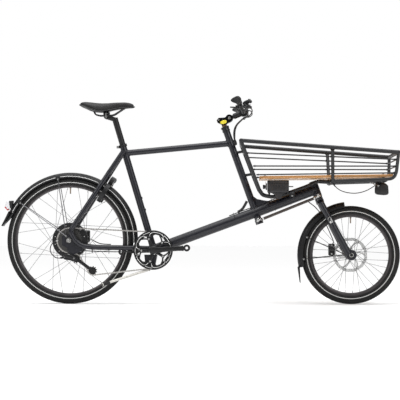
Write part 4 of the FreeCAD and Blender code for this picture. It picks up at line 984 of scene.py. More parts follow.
def link_shape(outer):
    """Two waisted plates with their rollers or pins, drawn along +X with the pins along +Y."""
    parts = []
    gap = 0.0024 if outer else 0.0015
    for y in (-gap, gap):
        outline = []
        for k in range(16):
            a = math.tau * k / 16
            x = math.cos(a)
            centre = PITCH / 2 if x > 0.2 else -PITCH / 2 if x < -0.2 else 0
            r = 0.0041 if centre else 0.0027
            outline.append((centre + x * 0.0041 if centre else x * 0.004, math.sin(a) * r))
        low = [Vector((a, y - 0.0004, b)) for a, b in outline]
        high = [Vector((a, y + 0.0004, b)) for a, b in outline]
        parts.append(rings([low, high]))
    reach = 0.0032 if outer else 0.0013
    r = 0.0018 if outer else 0.0038
    for x in (-PITCH / 2, PITCH / 2):
        parts.append(lathe(Vector((x, -reach, 0)), SIDEWAYS, [(0, r), (2 * reach, r)], 8))
    points, faces = joined(*parts)
    mesh = bpy.data.meshes.new("chain_link")
    mesh.from_pydata([tuple(p) for p in points], [], faces)
    smooth(mesh, 30)
    return mesh


pins = even_spots(chain_route(), PITCH)
for parity, label in ((0, "outer"), (1, "inner")):
    spots = []
    for i in range(parity, len(pins), 2):
        a, b = pins[i], pins[(i + 1) % len(pins)]
        along = (b - a).normalized()
        spots.append(((a + b) / 2, along.cross(SIDEWAYS).normalized(), 1.0, along))
    links = lay("chain_links_" + label, link_shape(parity == 0), spots, "frame", oiled)
    if parity == 0:
        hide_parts("chain")

dark_plastic, shade = surface("moulded_black", (0.010, 0.010, 0.0105), 0.50, Specular_IOR_Level=0.4)
cell = shade.add("ShaderNodeTexVoronoi", {}, {"Vector": shade.place(), "Scale": 1400.0})
soft = shade.noise(30.0, 3.0)
plug(dark_plastic, "Base Color", shade.mix(soft, (0.0065, 0.0065, 0.0070, 1), (0.0130, 0.0130, 0.0140, 1)))
plug(dark_plastic, "Roughness", soft * 0.16 + 0.42)
bump(dark_plastic, shade, cell, 0.00006, 0.5)
for name, centre, body in (("guide_pulley", GUIDE, "guide_pulley"),
                           ("tension_pulley", TENSION, "tension_pulley")):
    centre = Vector((centre.x, 0, centre.z))
    wheel_shape = toothed(centre, SPROCKET_Y, 11, 0.0023, 0.0062)
    boss = lathe(centre + SIDEWAYS * (SPROCKET_Y - 0.0033), SIDEWAYS,
                 [(0, 0.0026), (0, 0.0085), (0.0066, 0.0085), (0.0066, 0.0026), (0, 0.0026)], 32)
    made = piece(name + "_teeth", *joined(wheel_shape, (boss[0], boss[1][:-2])), dark_plastic, body,
                 "black_plastic")
    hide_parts(name)
    lay(name + "_bolt", screw_head, [(centre + SIDEWAYS * -0.0452, across, 0.008)], "derailleur_cage",
        black_steel)


# --- Rear derailleur ----------------------------------------------------------------------------
# A long-cage derailleur in black alloy: mounting bolt, parallelogram with its outer link, and the
# barrel adjuster where the cable enters. The cage plates stay as machined.
outer_link = []
for offset, high in ((0.0, 0.0062), (0.0035, 0.0040)):
    loops = []
    for x, z, half in ((-708, 243, 0.007), (-690, 251, 0.0105), (-668, 247, 0.0115), (-648, 236, 0.0105),
                       (-636, 232, 0.006)):
        loops.append([mm(x, -84.2, z) + Vector((0, -offset, 0)) + Vector((0,
                                                            -0.0028 * (0.5 + 0.5 * math.sin(q)),
                      half * (1 - offset * 60) * math.cos(q))) for q in (math.tau * k / 14 for k in range(14))])
    outer_link.append(rings(loops))
piece("derailleur_link", *joined(*outer_link), black_alloy, "frame", "black_alloy")
lay("derailleur_pins", screw_head, [(mm(-700, -87, 246), across, 0.008),
                                    (mm(-648, -87.5, 238), across, 0.0085),
                                    (mm(-676, -84, 256), across, 0.012)], "frame", stainless)
barrel = lathe(mm(-709, -72, 241), Vector((-1, 0, -0.1)),
               [(0, 0.0035), (0.002, 0.0050), (0.010, 0.0050), (0.012, 0.0035)], 16)
piece("barrel_adjuster", *barrel, black_alloy, "frame", "black_alloy")


# --- Hub motor, front hub and axle nuts ---------------------------------------------------------
# A geared motor in a cast shell: black ribbed rim with a greyer screwed cover each side. The
# small front hub is turned alloy, and domed nuts with washers hold the wheel behind.
motor_shell, shade = surface("motor_casting", (0.016, 0.016, 0.017), 0.45, 0.4)
r, turn = shade.radius(REAR), shade.turn(REAR)
fins = shade.wave(turn * 24.0)
cover = r.within(0.020, 0.062)
grit = shade.noise(260.0, 4.0)
plug(motor_shell, "Base Color", shade.mix(cover * (0.5 + fins * 0.25), (0.0110, 0.0110, 0.0120, 1),
                                          (0.10, 0.10, 0.105, 1)))
plug(motor_shell, "Roughness", grit * 0.18 + 0.36)
bump(motor_shell, shade, cover * (fins > 0.0) * 1.0 + grit * 0.12, 0.0008, 0.8)
dress(motor_shell, "rear_hub_motor")
cover_screws = circle(REAR, 0.078, 12, -0.0268, across, 0.0062, 15.0)
lay("motor_screws", screw_head, cover_screws + [(p + Vector((0, 0.0536, 0)), -o, s) for p, o,
                                                s in cover_screws],
    "rear_wheel", stainless)
flange_edge = [on_wheel(REAR, 0.0905, 3 * k, y) for y in (-0.0205,) for k in range(120)]
piece("motor_flange_right", *tube_along(flange_edge, 0.0016, 8, closed=True), black_alloy, "rear_wheel",
      "black_alloy")
piece("motor_flange_left", *tube_along([p + Vector((0, 0.041, 0)) for p in flange_edge], 0.0016, 8,
                                       closed=True),
      black_alloy, "rear_wheel", "black_alloy")
steel_parts = metal("zinc_steel", (0.55, 0.54, 0.52), 0.32)
dress(steel_parts, "rear_axle", "front_axle", "lock_bolt")
dress(black_steel, "saddle_rails")


# --- Saddle -------------------------------------------------------------------------------------
# Foam under a stretched, vinyl-like cover with a fine grain, on a moulded shell, with a stitched
# seam where cover and shell meet. The steel rails below are held by the seatpost's clamp.
saddle_cover, shade = surface("saddle_cover", (0.010, 0.010, 0.0105), 0.55, Specular_IOR_Level=0.4)
grain = shade.add("ShaderNodeTexVoronoi", {"feature": "DISTANCE_TO_EDGE"},
                  {"Vector": shade.place(), "Scale": 620.0})
worn = shade.noise(16.0, 3.0)
plug(saddle_cover, "Base Color", shade.mix(worn, (0.0045, 0.0045, 0.0048, 1), (0.0100, 0.0100, 0.0106, 1)))
plug(saddle_cover, "Roughness", worn * 0.2 + 0.42)
bump(saddle_cover, shade, (grain < 0.06) * -1.0 + shade.noise(1500.0, 2.0) * 0.3, 0.00012, 0.7)

# Stations from tail to nose: x, half width, height of the crown, of the edge and of the keel.
SADDLE_STATIONS = ((-626, 30, 1045, 1037, 1029), (-618, 52, 1051, 1036, 1024), (-600, 68, 1053, 1030, 1017),
                   (-575, 75, 1049, 1019, 1004), (-545, 72, 1045, 1009, 997), (-515, 58, 1043, 1005, 995),
                   (-485, 42, 1044, 1008, 999), (-455, 31, 1047, 1015, 1006), (-425, 25, 1050, 1020, 1012),
                   (-395, 22, 1051, 1023, 1016), (-368, 20, 1049, 1024, 1018), (-352, 16, 1044, 1025, 1020),
                   (-343, 9, 1037, 1028, 1024))


def saddle_loops(stations, swell=0.0):
    """Cross sections that crown on top, roll over the edge and tuck in below."""
    loops = []
    for x, half, crown, edge, keel in stations:
        loop = []
        for k in range(28):
            a = math.tau * k / 28
            c, s = math.cos(a), math.sin(a)
            y = half * math.copysign(abs(c) ** 0.7, c)
            if s >= 0:
                dip = 2.2 * max(0, 1 - abs(y) / 14) if -600 < x < -400 else 0
                z = edge + (crown - edge) * s ** 0.62 - dip
            else:
                z = edge + (edge - keel) * math.copysign(abs(s) ** 0.8, s)
                y *= 1 - 0.16 * abs(s)
            loop.append(mm(x, y, z))
        loops.append(loop)
    return loops


def pad(name, loops, material, body, pressure, cap, voxel):
    """Swells a closed foam shape with a short cloth run, and keeps every point near its start."""
    points, faces = rings(loops)
    soft_piece = piece(name, points, faces, material, angle=180)
    remesh = soft_piece.modifiers.new("even", "REMESH")
    remesh.mode, remesh.voxel_size = "VOXEL", voxel
    bpy.context.view_layer.update()
    mesh = bpy.data.meshes.new_from_object(soft_piece.evaluated_get(bpy.context.evaluated_depsgraph_get()))
    soft_piece.modifiers.clear()
    soft_piece.data = mesh
    start = [v.co.copy() for v in mesh.vertices]
    cloth = soft_piece.modifiers.new("swell", "CLOTH")
    cloth.settings.use_pressure = True
    cloth.settings.uniform_pressure_force = pressure
    cloth.settings.effector_weights.gravity = 0
    cloth.settings.tension_stiffness = cloth.settings.compression_stiffness = 40
    cloth.settings.bending_stiffness = 8
    cloth.point_cache.frame_start, cloth.point_cache.frame_end = 1, 16
    for frame_number in range(1, 17):
        bpy.context.scene.frame_set(frame_number)
    moved = bpy.data.meshes.new_from_object(soft_piece.evaluated_get(bpy.context.evaluated_depsgraph_get()))
    soft_piece.modifiers.clear()
    for vertex, new, old in zip(mesh.vertices, moved.vertices, start):
        step = new.co - old
        vertex.co = old + (step if step.length < cap else step.normalized() * cap)
    bpy.context.scene.frame_set(1)
    round_off = soft_piece.modifiers.new("round_off", "SMOOTH")
    round_off.factor, round_off.iterations = 0.5, 4
    finer = soft_piece.modifiers.new("finer", "SUBSURF")
    finer.levels = finer.render_levels = 1
    bpy.context.view_layer.update()
    final = bpy.data.meshes.new_from_object(soft_piece.evaluated_get(bpy.context.evaluated_depsgraph_get()))
    soft_piece.modifiers.clear()
    soft_piece.data = final
    for polygon in final.polygons:
        polygon.use_smooth = True
    final.materials.clear()
    final.materials.append(material)
    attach(soft_piece, body)
    return soft_piece


SADDLE_CAP = 0.0028
shrunk = [(x + (1.5 if x < -480 else -1.5), half - 2.4, crown - 2.0, edge, keel + 1.2)
          for x, half, crown, edge, keel in SADDLE_STATIONS]
saddle = pad("saddle_pad", saddle_loops(shrunk), saddle_cover, "seatpost", 3.0, SADDLE_CAP,
             0.004)
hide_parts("saddle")

# The shell: a thin moulded edge under the pad that reaches down to the rails at nose and tail.
shell_line = [mm(x, -(half - 1.0), edge - 3.0) for x, half, crown, edge, keel in SADDLE_STATIONS]
shell_edge = shell_line + [Vector((p.x, -p.y, p.z)) for p in reversed(shell_line)]


def smooth_line(points, closed=False, per_run=8):
    """A line eased through a few points."""
    line, total = [], len(points)
    runs = total if closed else total - 1
    for i in range(runs):
        a = points[(i - 1) % total] if closed or i else points[0]
        b, c = points[i], points[(i + 1) % total]
        d = points[(i + 2) % total] if closed or i + 2 < total else points[-1]
        for k in range(per_run):
            t = k / per_run
            line.append(0.5 * ((2 * b) + (c - a) * t + (2 * a - 5 * b + 4 * c - d) * t * t
                               + (3 * b - a - 3 * c + d) * t ** 3))
    return line if closed else line + [points[-1]]


piece("saddle_shell_edge", *tube_along(smooth_line(shell_edge, closed=True, per_run=6), 0.0026, 8,
                                       closed=True),
      dark_plastic, "seatpost", "black_plastic")
tail_block = lathe(mm(-560, 0, 1013), SIDEWAYS, [(-0.030, 0.0), (-0.030, 0.009), (0.030, 0.009),
                                                 (0.030, 0.0)], 20)
nose_block = lathe(mm(-398, 0, 1018), SIDEWAYS, [(-0.0205, 0.0), (-0.0205, 0.007), (0.0205, 0.007),
                                                 (0.0205, 0.0)], 20)
piece("saddle_rail_sockets", *joined(tail_block, nose_block), dark_plastic, "seatpost", "black_plastic")
lay("saddle_clamp_bolts", screw_head, [(mm(-488, -28.2, 987.5), across, 0.010),
                                       (mm(-488, 28.2, 987.5), -across, 0.010),
                                       (mm(-488, -24.1, 974), across, 0.013)], "seatpost", stainless)
lay("seat_collar_bolt", screw_head, [(BRACKET + seat_axis * 0.5655 + seat_axis.cross(SIDEWAYS) * 0.025
                                      + SIDEWAYS * -0.0171, across, 0.012)], "frame", stainless)


# --- Handlebar, grips and controls --------------------------------------------------------------
# A swept alloy bar with broad rubber grips: fine ribs on the barrel and a ribbed palm rest. The
# clamps and shifter are moulded; the bell is a painted dome on its own band.
grip_rubber, shade = surface("grip_rubber", (0.011, 0.011, 0.0115), 0.70, Specular_IOR_Level=0.4)
x, y, z = shade.axes()
rib = shade.wave(y * 1900.0) * (shade.wave(z * 1500.0 + x * 900.0))
dust = shade.noise(30.0, 4.0)
plug(grip_rubber, "Base Color", shade.mix(dust, (0.0070, 0.0070, 0.0075, 1), (0.0170, 0.0170, 0.0170, 1)))
plug(grip_rubber, "Roughness", dust * 0.16 + 0.62)
bump(grip_rubber, shade, rib, 0.0006, 0.8)


def grip(side):
    """A round barrel that widens into a flat palm rest behind the bar's end."""
    inner_end, outer_end = mm(204, -150, 1034), mm(196, -330, 1036)
    along = (outer_end - inner_end).normalized()
    start = outer_end - along * 0.127
    stations = ((0.000, 15.0, 0, 0), (0.002, 16.3, 0, 0), (0.012, 16.4, 0, 0), (0.015, 15.0, 0, 0),
                (0.040, 15.6, 0, 0),
                (0.066, 16.4, 4, 1), (0.080, 17.4, 10, 2), (0.094, 18.4, 14, 3), (0.108, 19.0, 16, 3),
                (0.120, 18.8, 15, 3), (0.127, 17.4, 12, 2), (0.130, 14.5, 9, 1))
    loops = []
    for reach, r, wing, drop in stations:
        centre = start + along * reach
        loop = []
        for k in range(32):
            a = math.tau * k / 32
            c, s = math.cos(a), math.sin(a)
            back = max(0.0, -c)
            px = r * c - wing * back ** 0.8
            pz = r * s * (1 - 0.35 * back * min(1.0, wing / 16)) - drop * back
            loop.append(centre + Vector((px, 0, pz)) / 1000)
        loops.append([Vector((p.x, side * -p.y, p.z)) for p in loop])
    return rings(loops)


grips = piece("palm_grips", *joined(grip(1), grip(-1)), grip_rubber, "stem", "grip_rubber", 50)
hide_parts("grips")
finer = grips.modifiers.new("finer", "SUBSURF")
finer.levels = finer.render_levels = 1
dress(dark_plastic, "bar_controls", "shift_lever", "control_box", "tail_light", "headlight", "front_mudguard",
      "rear_mudguard")
bell_paint = lacquer("bell_enamel", (0.009, 0.009, 0.010), 0.30)
dome = [(0.0, 0.0200), (0.003, 0.0204), (0.008, 0.0196), (0.013, 0.0165), (0.0168, 0.0110), (0.0182, 0.0055),
        (0.0185, 0.0)]
piece("bell_dome", *lathe(mm(240, 96, 1030), Vector((0, 0, 1)), dome, 40), bell_paint, "stem", "black_alloy")
lay("bell_screw", screw_head, [(mm(240, 96, 1048.2), Vector((0, 0, 1)), 0.006)], "stem", stainless)


# Each brake lever hangs from a rounded reservoir, and short cables bow forwards from the controls
# to the bundle that leaves below the stem.
for side, word in ((-1, "right"), (1, "left")):
    line = smooth_line([mm(228, side * 152, 1026), mm(240, side * 160, 1033), mm(252, side * 172, 1038),
                        mm(262, side * 190, 1036)], per_run=6)
    radii = [0.0085 + 0.0035 * math.sin(math.pi * min(1, 0.25 + i / len(line))) for i in range(len(line))]
    piece("brake_reservoir_" + word, *tube_along(line, radii, 20), dark_plastic, "stem", "black_plastic", 60)
    cap_at = mm(256, side * 178, 1047.5)
    piece("reservoir_cap_" + word, *lathe(cap_at, Vector((0.1, 0, 1)),
                                          [(0, 0.0), (0, 0.0075), (0.002, 0.0075), (0.003, 0.006),
                                                                     (0.003, 0.0)], 20), black_steel, "stem",
          "black_alloy")
bows = []
for points in (((242, -150, 1016), (262, -128, 1012), (270, -92, 992), (252, -52, 972), (226, -27, 966)),
               ((242, 150, 1016), (262, 128, 1012), (270, 92, 992), (254, 40, 974), (232, -8, 969)),
               ((214, -158, 1004), (236, -134, 990), (250, -90, 978), (238, -50, 966), (224, -27, 963))):
    bows.append(tube_along(smooth_line([mm(*p) for p in points], per_run=8), 0.0027, 10))
piece("bar_cables", *joined(*bows), dark_plastic, "stem", "cable_jacket", 60)


def lever_blade(side):
    """A forged lever: broad hooked blade with a rounded front and a ball end."""
    base = pivot["brake_pull_right"].copy()
    points = [base + mm(0, -4, 0), base + mm(5, -22, -6), base + mm(5, -44, -13), base + mm(0, -72, -18),
              base + mm(-5, -98, -21), base + mm(-9, -116, -22)]
    line = smooth_line(points, per_run=6)
    radii = [0.0062 - 0.0012 * math.sin(math.pi * i / (len(line) - 1)) for i in range(len(line))]
    radii[-1] = 0.0066
    tube = tube_along([Vector((p.x, side * -p.y, p.z)) for p in line], radii, 14, shape=(0.62, 1.25))
    tip = line[-1]
    ball = lathe(Vector((tip.x, side * -tip.y, tip.z)) - SIDEWAYS * 0.0070 * -side, SIDEWAYS * -side,
                 [(0.0070 - 0.0068 * math.cos(math.pi * k / 10),
                   0.0068 * math.sin(math.pi * k / 10)) for k in range(11)], 20)
    return joined(tube, ball)


for side, word in ((1, "right"), (-1, "left")):
    body = "brake_lever_" + word
    blade = piece("lever_blade_" + word, *lever_blade(side), black_alloy, body, "black_alloy", 60)
    at = pivot["brake_pull_" + word]
    pin_axis = Vector((-0.884, 0, -0.468)).normalized()
    knuckle = lathe(at - pin_axis * 0.0053, pin_axis,
                    [(0, 0.0), (0, 0.0084), (0.0106, 0.0084), (0.0106, 0.0)], 28)
    piece("lever_eye_" + word, *knuckle, black_alloy, body, "black_alloy")
    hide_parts(body)
    pin = lathe(at - pin_axis * 0.0132, pin_axis, [(0, 0.0), (0, 0.0036), (0.0264, 0.0036), (0.0264, 0.0)],
                20)
    piece("lever_pin_" + word, *pin, stainless, "stem", "steel")


# --- Stem, height tube and column ---------------------------------------------------------------
# The bar's height tube is bronze anodised and slides in the column. Its forked black head carries
# the angle-adjustable stem, held by large steel screws, and a plain oval of yellow enamel.
HEAD_START = 0.2465
bronze, shade = surface("bronze_anodised", (0.17, 0.10, 0.065), 0.30, 0.85)
brush = shade.noise(70.0, 4.0)
x, y, z = shade.axes()
along = (x - HEAD.x) * head_axis.x + (z - HEAD.z) * head_axis.z
tone = shade.mix(brush, (0.10, 0.055, 0.036, 1), (0.26, 0.155, 0.100, 1))
plug(bronze, "Base Color", shade.mix(along > HEAD_START, tone, (0.0080, 0.0080, 0.0085, 1)))
plug(bronze, "Roughness", brush * 0.16 + 0.24)
bump(bronze, shade, shade.noise(1600.0, 1.0), 0.00003, 0.4)
dress(bronze, "lifter_tube")
yellow, shade = surface("yellow_enamel", (0.80, 0.56, 0.03), 0.35, Coat_Weight=0.4)
fade = shade.noise(120.0, 3.0)
plug(yellow, "Base Color", shade.mix(fade, (0.70, 0.56, 0.02, 1), (0.86, 0.74, 0.05, 1)))
oval = []
for reach, share in ((0.0, 1.0), (0.0008, 1.0), (0.0014, 0.93), (0.0016, 0.80)):
    spread = [(math.cos(a) * 0.0165 * share,
               math.sin(a) * 0.0115 * share) for a in (math.tau * k / 40 for k in range(40))]
    oval.append([mm(122, -19 - reach * 1000, 944) + Vector((p - 0.28 * q, 0, q * 0.8 + 0.28 * p)) for p,
                 q in spread])
piece("height_badge", *rings(oval), yellow, "lifter", "bronze_tube")
stem_pivot = pivot["stem_tilt"]
lay("stem_bolts", screw_head, [(stem_pivot + SIDEWAYS * -0.0233, across, 0.0145),
                               (stem_pivot + SIDEWAYS * 0.0233, -across, 0.0145)],
    "stem", stainless)
lay("head_bolts", screw_head, [(mm(96, -19, 955), across, 0.010), (mm(96, 19, 955), -across, 0.010)],
    "lifter", stainless)
clamp_out = (mm(225, 0, 995) - stem_pivot).normalized()
clamp_up = clamp_out.cross(SIDEWAYS) * -1
lay("bar_clamp_bolts", screw_head, [(mm(225, y, 995) + clamp_out * 0.0205 + clamp_up * z, clamp_out, 0.0075)
                                    for y in (-15, 15) for z in (-0.0085, 0.0085)], "stem", black_steel)
collar = [(0, 0.0195), (0.001, 0.0205), (0.012, 0.0205), (0.013, 0.0195), (0.013, 0.0144), (0, 0.0144),
          (0, 0.0195)]
collar_shape = lathe(HEAD + head_axis * 0.2265, head_axis, collar, 40)
piece("column_collar", collar_shape[0], collar_shape[1][:-2], black_alloy, "steering_column", "black_alloy")
lay("collar_bolt", screw_head, [(HEAD + head_axis * 0.233 + Vector((-0.0205 * head_axis.z, -0.004,
                                                            0.0205 * head_axis.x)),
                                 Vector((-head_axis.z, 0, head_axis.x)), 0.008)], "steering_column",
    stainless)


# --- Steering rod -------------------------------------------------------------------------------
# The rod that turns the fork: a steel tube in a brown-black spiral wrap, with a ball joint and a
# lock nut at each end.
wrap, shade = surface("spiral_wrap", (0.016, 0.011, 0.009), 0.42)
rod_rear, rod_front = pivot["rod_swing"] + head_axis * 0.006, CROWN + head_axis * 0.009 + SIDEWAYS * -0.088
rod_run = (rod_front - rod_rear).normalized()
wear = shade.noise(90.0, 3.0)
plug(wrap, "Base Color", shade.mix(wear, (0.0090, 0.0070, 0.0065, 1), (0.070, 0.050, 0.040, 1)))
plug(wrap, "Roughness", wear * 0.2 + 0.38)
rod_length = (rod_front - rod_rear).length
WRAP_PITCH = 0.0165
turn_starts = [0.018 + WRAP_PITCH * k for k in range(int((rod_length - 0.036) / WRAP_PITCH))]
steps = [(start + along * WRAP_PITCH, radius) for start in turn_starts
         for along, radius in ((0, 0.0070), (0.05, 0.0074), (0.95, 0.0072))]
taped = lathe(rod_rear, rod_run, [(0.010, 0.0066), *steps, (rod_length - 0.010, 0.0066)], 24)
ends = []
for centre, way in ((rod_rear, 1), (rod_front, -1)):
    ends.append(lathe(centre + rod_run * way * 0.0105, rod_run * way,
                      [(0, 0.0), (0, 0.0068), (0.010, 0.0068), (0.010, 0.0060),
                                                                   (0.0105, 0.0075), (0.018, 0.0075),
                                                            (0.0185, 0.0)], 16))
rod_piece = piece("rod_wrap", *taped, wrap, "steering_rod", "black_plastic", 50)
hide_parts("steering_rod")
piece("rod_ferrules", *joined(*ends), stainless, "steering_rod", "steel")
eyes = []
for centre in (rod_rear, rod_front):
    bore = 0.0051
    profile = [(-0.005, bore), (-0.005, 0.0098), (-0.0036, 0.0116), (0, 0.0121), (0.0036, 0.0116),
               (0.005, 0.0098), (0.005, bore),
               (-0.005, bore)]
    shape = lathe(centre, head_axis, profile, 36)
    eyes.append((shape[0], shape[1][:-2]))
piece("rod_eyes", *joined(*eyes), stainless, "steering_rod", "steel")
for name, centre, body in (("column_stud_nut", rod_rear, "steering_column"),
                           ("fork_stud_nut", rod_front, "fork")):
    six = lathe(centre + head_axis * 0.0064, head_axis,
                [(0, 0.0), (0, 0.0072), (0.0016, 0.0076), (0.0048, 0.0076),
                                                        (0.0056, 0.0068), (0.0056, 0.0046), (0.0080, 0.0040),
                                                         (0.0080, 0.0)], 6)
    piece(name, *six, stainless, body, "steel", 20)


# --- Load carrier -------------------------------------------------------------------------------
# A basket of bent steel tube and wire, welded and powder coated in a finely grained charcoal. The
# wires are let in on the inside of the posts, with a fillet of weld at every crossing.
carrier_coat, shade = surface("carrier_powder_coat", (0.0095, 0.0100, 0.0115), 0.46, Specular_IOR_Level=0.4)
speck = shade.noise(1100.0, 3.0)
drift = shade.noise(7.0, 2.0)
plug(carrier_coat, "Base Color", shade.mix(drift, (0.011, 0.0115, 0.013, 1), (0.0120, 0.0125, 0.0140, 1)))
plug(carrier_coat, "Roughness", speck * 0.22 + 0.36)
bump(carrier_coat, shade, speck, 0.00018, 0.5)
dress(carrier_coat, "basket_side_left", "basket_side_right", "basket_cradle")

TOP_HALF, LOW_HALF = 275.0, 198.0
RAIL_REAR, RAIL_FRONT = (213.5, 834.0), (1003.7, 774.0)
MID_X = 673.0


def rail_height(x):
    return RAIL_REAR[1] + (x - RAIL_REAR[0]) * (RAIL_FRONT[1] - RAIL_REAR[1]) / (RAIL_FRONT[0] - RAIL_REAR[0])


def on_side(x, z):
    """A point of the flared right side, in metres."""
    share = (z - 640) / (rail_height(x) - 640)
    return mm(x, -(LOW_HALF + (TOP_HALF - LOW_HALF) * share), z)


WIRE_ENDS = (((238.6, 772.7), (996, 738.5)), ((273.8, 707.5), (996, 705.5)), ((291.0, 664.0), (992, 672.5)))
fillets = []


def fillet(at, along, r, reach, flare=0.0032):
    """A small cone of weld round a wire or tube where it lands."""
    fillets.append(lathe(at, along, [(0, r + flare), (reach * 0.35, r + flare * 0.35), (reach, r + 0.0002)],
                         14))


for (x1, z1), (x2, z2) in WIRE_ENDS:
    rear_end, front_end = on_side(x1, z1), on_side(x2, z2)
    run = (front_end - rear_end).normalized()
    share = (MID_X - x1) / (x2 - x1)
    crossing = rear_end.lerp(front_end, share)
    for mirror in (1, -1):
        for place, way, offset in ((rear_end, run, 0.0078), (front_end, -run, 0.0078),
                                   (crossing, run, 0.0080),
                                   (crossing, -run, 0.0080)):
            at = place + way * offset
            fillet(Vector((at.x, at.y * mirror, at.z)), Vector((way.x, way.y * mirror, way.z)), 0.0035, 0.006)
for x, z in ((996, 738.5), (996, 705.5), (990, 672.5)):
    half = -on_side(x, z).y
    for side in (-1, 1):
        fillet(Vector((x / 1000, side * (half - 0.0078), z / 1000)), SIDEWAYS * -side, 0.0035, 0.006)
middle_top = on_side(MID_X, rail_height(MID_X))
post_run = (mm(MID_X + 5, -LOW_HALF, 632) - middle_top).normalized()
for mirror in (1, -1):
    at = middle_top + post_run * 0.0095
    fillet(Vector((at.x, at.y * mirror, at.z)), Vector((post_run.x, post_run.y * mirror, post_run.z)),
           0.0085, 0.009, 0.0045)
for x, z, r in ((678, 632, 0.0085), (935, 640, 0.0085)):
    for side in (-1, 1):
        for half, way in ((LOW_HALF / 1000 - 0.0080, -side), (0.052, side), (0.036, -side)):
            fillet(Vector((x / 1000, side * half, z / 1000)), SIDEWAYS * way, r, 0.009, 0.004)
piece("basket_welds", *joined(*fillets), carrier_coat, "frame", "carrier_paint", angle=60)

cap_ends = []
for x, z in (RAIL_REAR, RAIL_FRONT):
    for side in (-1, 1):
        at = mm(x, side * TOP_HALF, z)
        cap_ends.append(lathe(at, SIDEWAYS * side,
                              [(-0.004, 0.0102), (0.004, 0.0102), (0.0080, 0.0078), (0.0100, 0.0030),
                                                    (0.0101, 0.0)], 24))
piece("rail_corner_joints", *joined(*cap_ends), carrier_coat, "frame", "carrier_paint")


# --- Deck ---------------------------------------------------------------------------------------
# A board of oiled birch plywood, eleven plies thick, with rounded corners and edges. It is held to
# the cross tubes by countersunk screws in cup washers.
ply, shade = surface("oiled_plywood", (0.62, 0.33, 0.13), 0.42, Coat_Weight=0.15)
x, y, z = shade.axes()
lift = z - x * 0.01325
layers = shade.wave((lift - 0.6409) * 2900.0)
stretched = shade.add("ShaderNodeMapping", {}, {"Vector": shade.place(), "Scale": (2.2, 34.0, 34.0)})
figure = shade.add("ShaderNodeTexNoise", {}, {"Vector": stretched, "Scale": 5.0, "Detail": 6.0,
                                              "Roughness": 0.62,
                                              "Distortion": 0.8})
pore = shade.add("ShaderNodeTexNoise", {}, {"Vector": stretched, "Scale": 60.0, "Detail": 2.0})
up_facing = shade.add("ShaderNodeNewGeometry", out="Normal")
facing = shade.add("ShaderNodeSeparateXYZ", {}, {0: up_facing}, out="Z")
flat = shade._math("ABSOLUTE", facing) > 0.6
board = shade.ramp(figure, (0.30, (0.34, 0.17, 0.065)), (0.52, (0.56, 0.31, 0.13)),
                   (0.72, (0.70, 0.43, 0.20)))
edge = shade.mix((layers > 0.15) * 0.8, (0.60, 0.30, 0.10, 1), (0.33, 0.13, 0.035, 1))
plug(ply, "Base Color", shade.mix(flat, edge, board))
plug(ply, "Roughness", figure * 0.2 + 0.32)
bump(ply, shade, pore + layers * 0.25 * (1 - flat), 0.0002, 0.5)

deck_low, deck_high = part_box("basket_deck")
DECK_T, CORNER_R, EDGE_R = 0.013, 0.022, 0.0025
slope = (654.0 - 645.0) / (985.0 - 306.0)
corner_points = []
for cx, cy, start in ((deck_high.x - CORNER_R, deck_high.y - CORNER_R, 0),
                      (deck_low.x + CORNER_R, deck_high.y - CORNER_R, 90),
                      (deck_low.x + CORNER_R, deck_low.y + CORNER_R, 180),
                      (deck_high.x - CORNER_R, deck_low.y + CORNER_R, 270)):
    for k in range(9):
        a = math.radians(start + 90 * k / 8)
        corner_points.append((cx, cy, math.cos(a), math.sin(a)))
loops = []
for height, inset in ((0.0, EDGE_R), (EDGE_R * 0.3, EDGE_R * 0.3), (EDGE_R, 0.0), (DECK_T - EDGE_R, 0.0),
                      (DECK_T - EDGE_R * 0.3, EDGE_R * 0.3), (DECK_T, EDGE_R)):
    loops.append([Vector((cx + c * (CORNER_R - inset), cy + s * (CORNER_R - inset),
                          0.645 + slope * (cx + c * (CORNER_R - inset) - 0.306) + height)) for cx, cy, c,
                  s in corner_points])
board_piece = piece("deck_board", *rings(loops), ply, "frame", "deck_wood", 30)
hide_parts("basket_deck")
deck_up = Vector((-slope, 0, 1)).normalized()
deck_spots = [(Vector((x, y, 0.645 + slope * (x - 0.306) + DECK_T)), deck_up, 0.013)
              for x in (0.335, 0.678, 0.935) for y in (-0.165, -0.055, 0.055, 0.165)]
washer = lathe(Vector(), Vector((0, 0, 1)), [(0, 0.72), (0.05, 0.72), (0.12, 0.60), (0.10, 0.0)], 20)
washer_mesh = bpy.data.meshes.new("cup_washer")
washer_mesh.from_pydata([tuple(p) for p in washer[0]], [], washer[1])
smooth(washer_mesh)
lay("deck_washers", washer_mesh, deck_spots, "frame", stainless)
lay("deck_screws", screw_head, [(p + deck_up * 0.0006, o, 0.0075) for p, o, s in deck_spots], "frame",
    black_steel)


# --- Controller case ----------------------------------------------------------------------------
# The weatherproof case of the motor's controller: two black shells with a seal between them, four
# screws, a pale lamp plate with a black knob behind, and cable glands below.
seal_z = 0.622
case_low, case_high = mm(348, -92, 578), mm(459, -34, 640)


def seam(low, high, level, proud, r):
    """A line round a rounded case at one height."""
    line = []
    inset = 0.005
    for cx, cy, start in ((high.x - inset, high.y - inset, 0), (low.x + inset, high.y - inset, 90),
                          (low.x + inset, low.y + inset, 180), (high.x - inset, low.y + inset, 270)):
        for k in range(7):
            a = math.radians(start + 90 * k / 6)
            line.append(Vector((cx + (inset + proud) * math.cos(a), cy + (inset + proud) * math.sin(a),
                                level)))
    return tube_along(line, r, 8, closed=True)


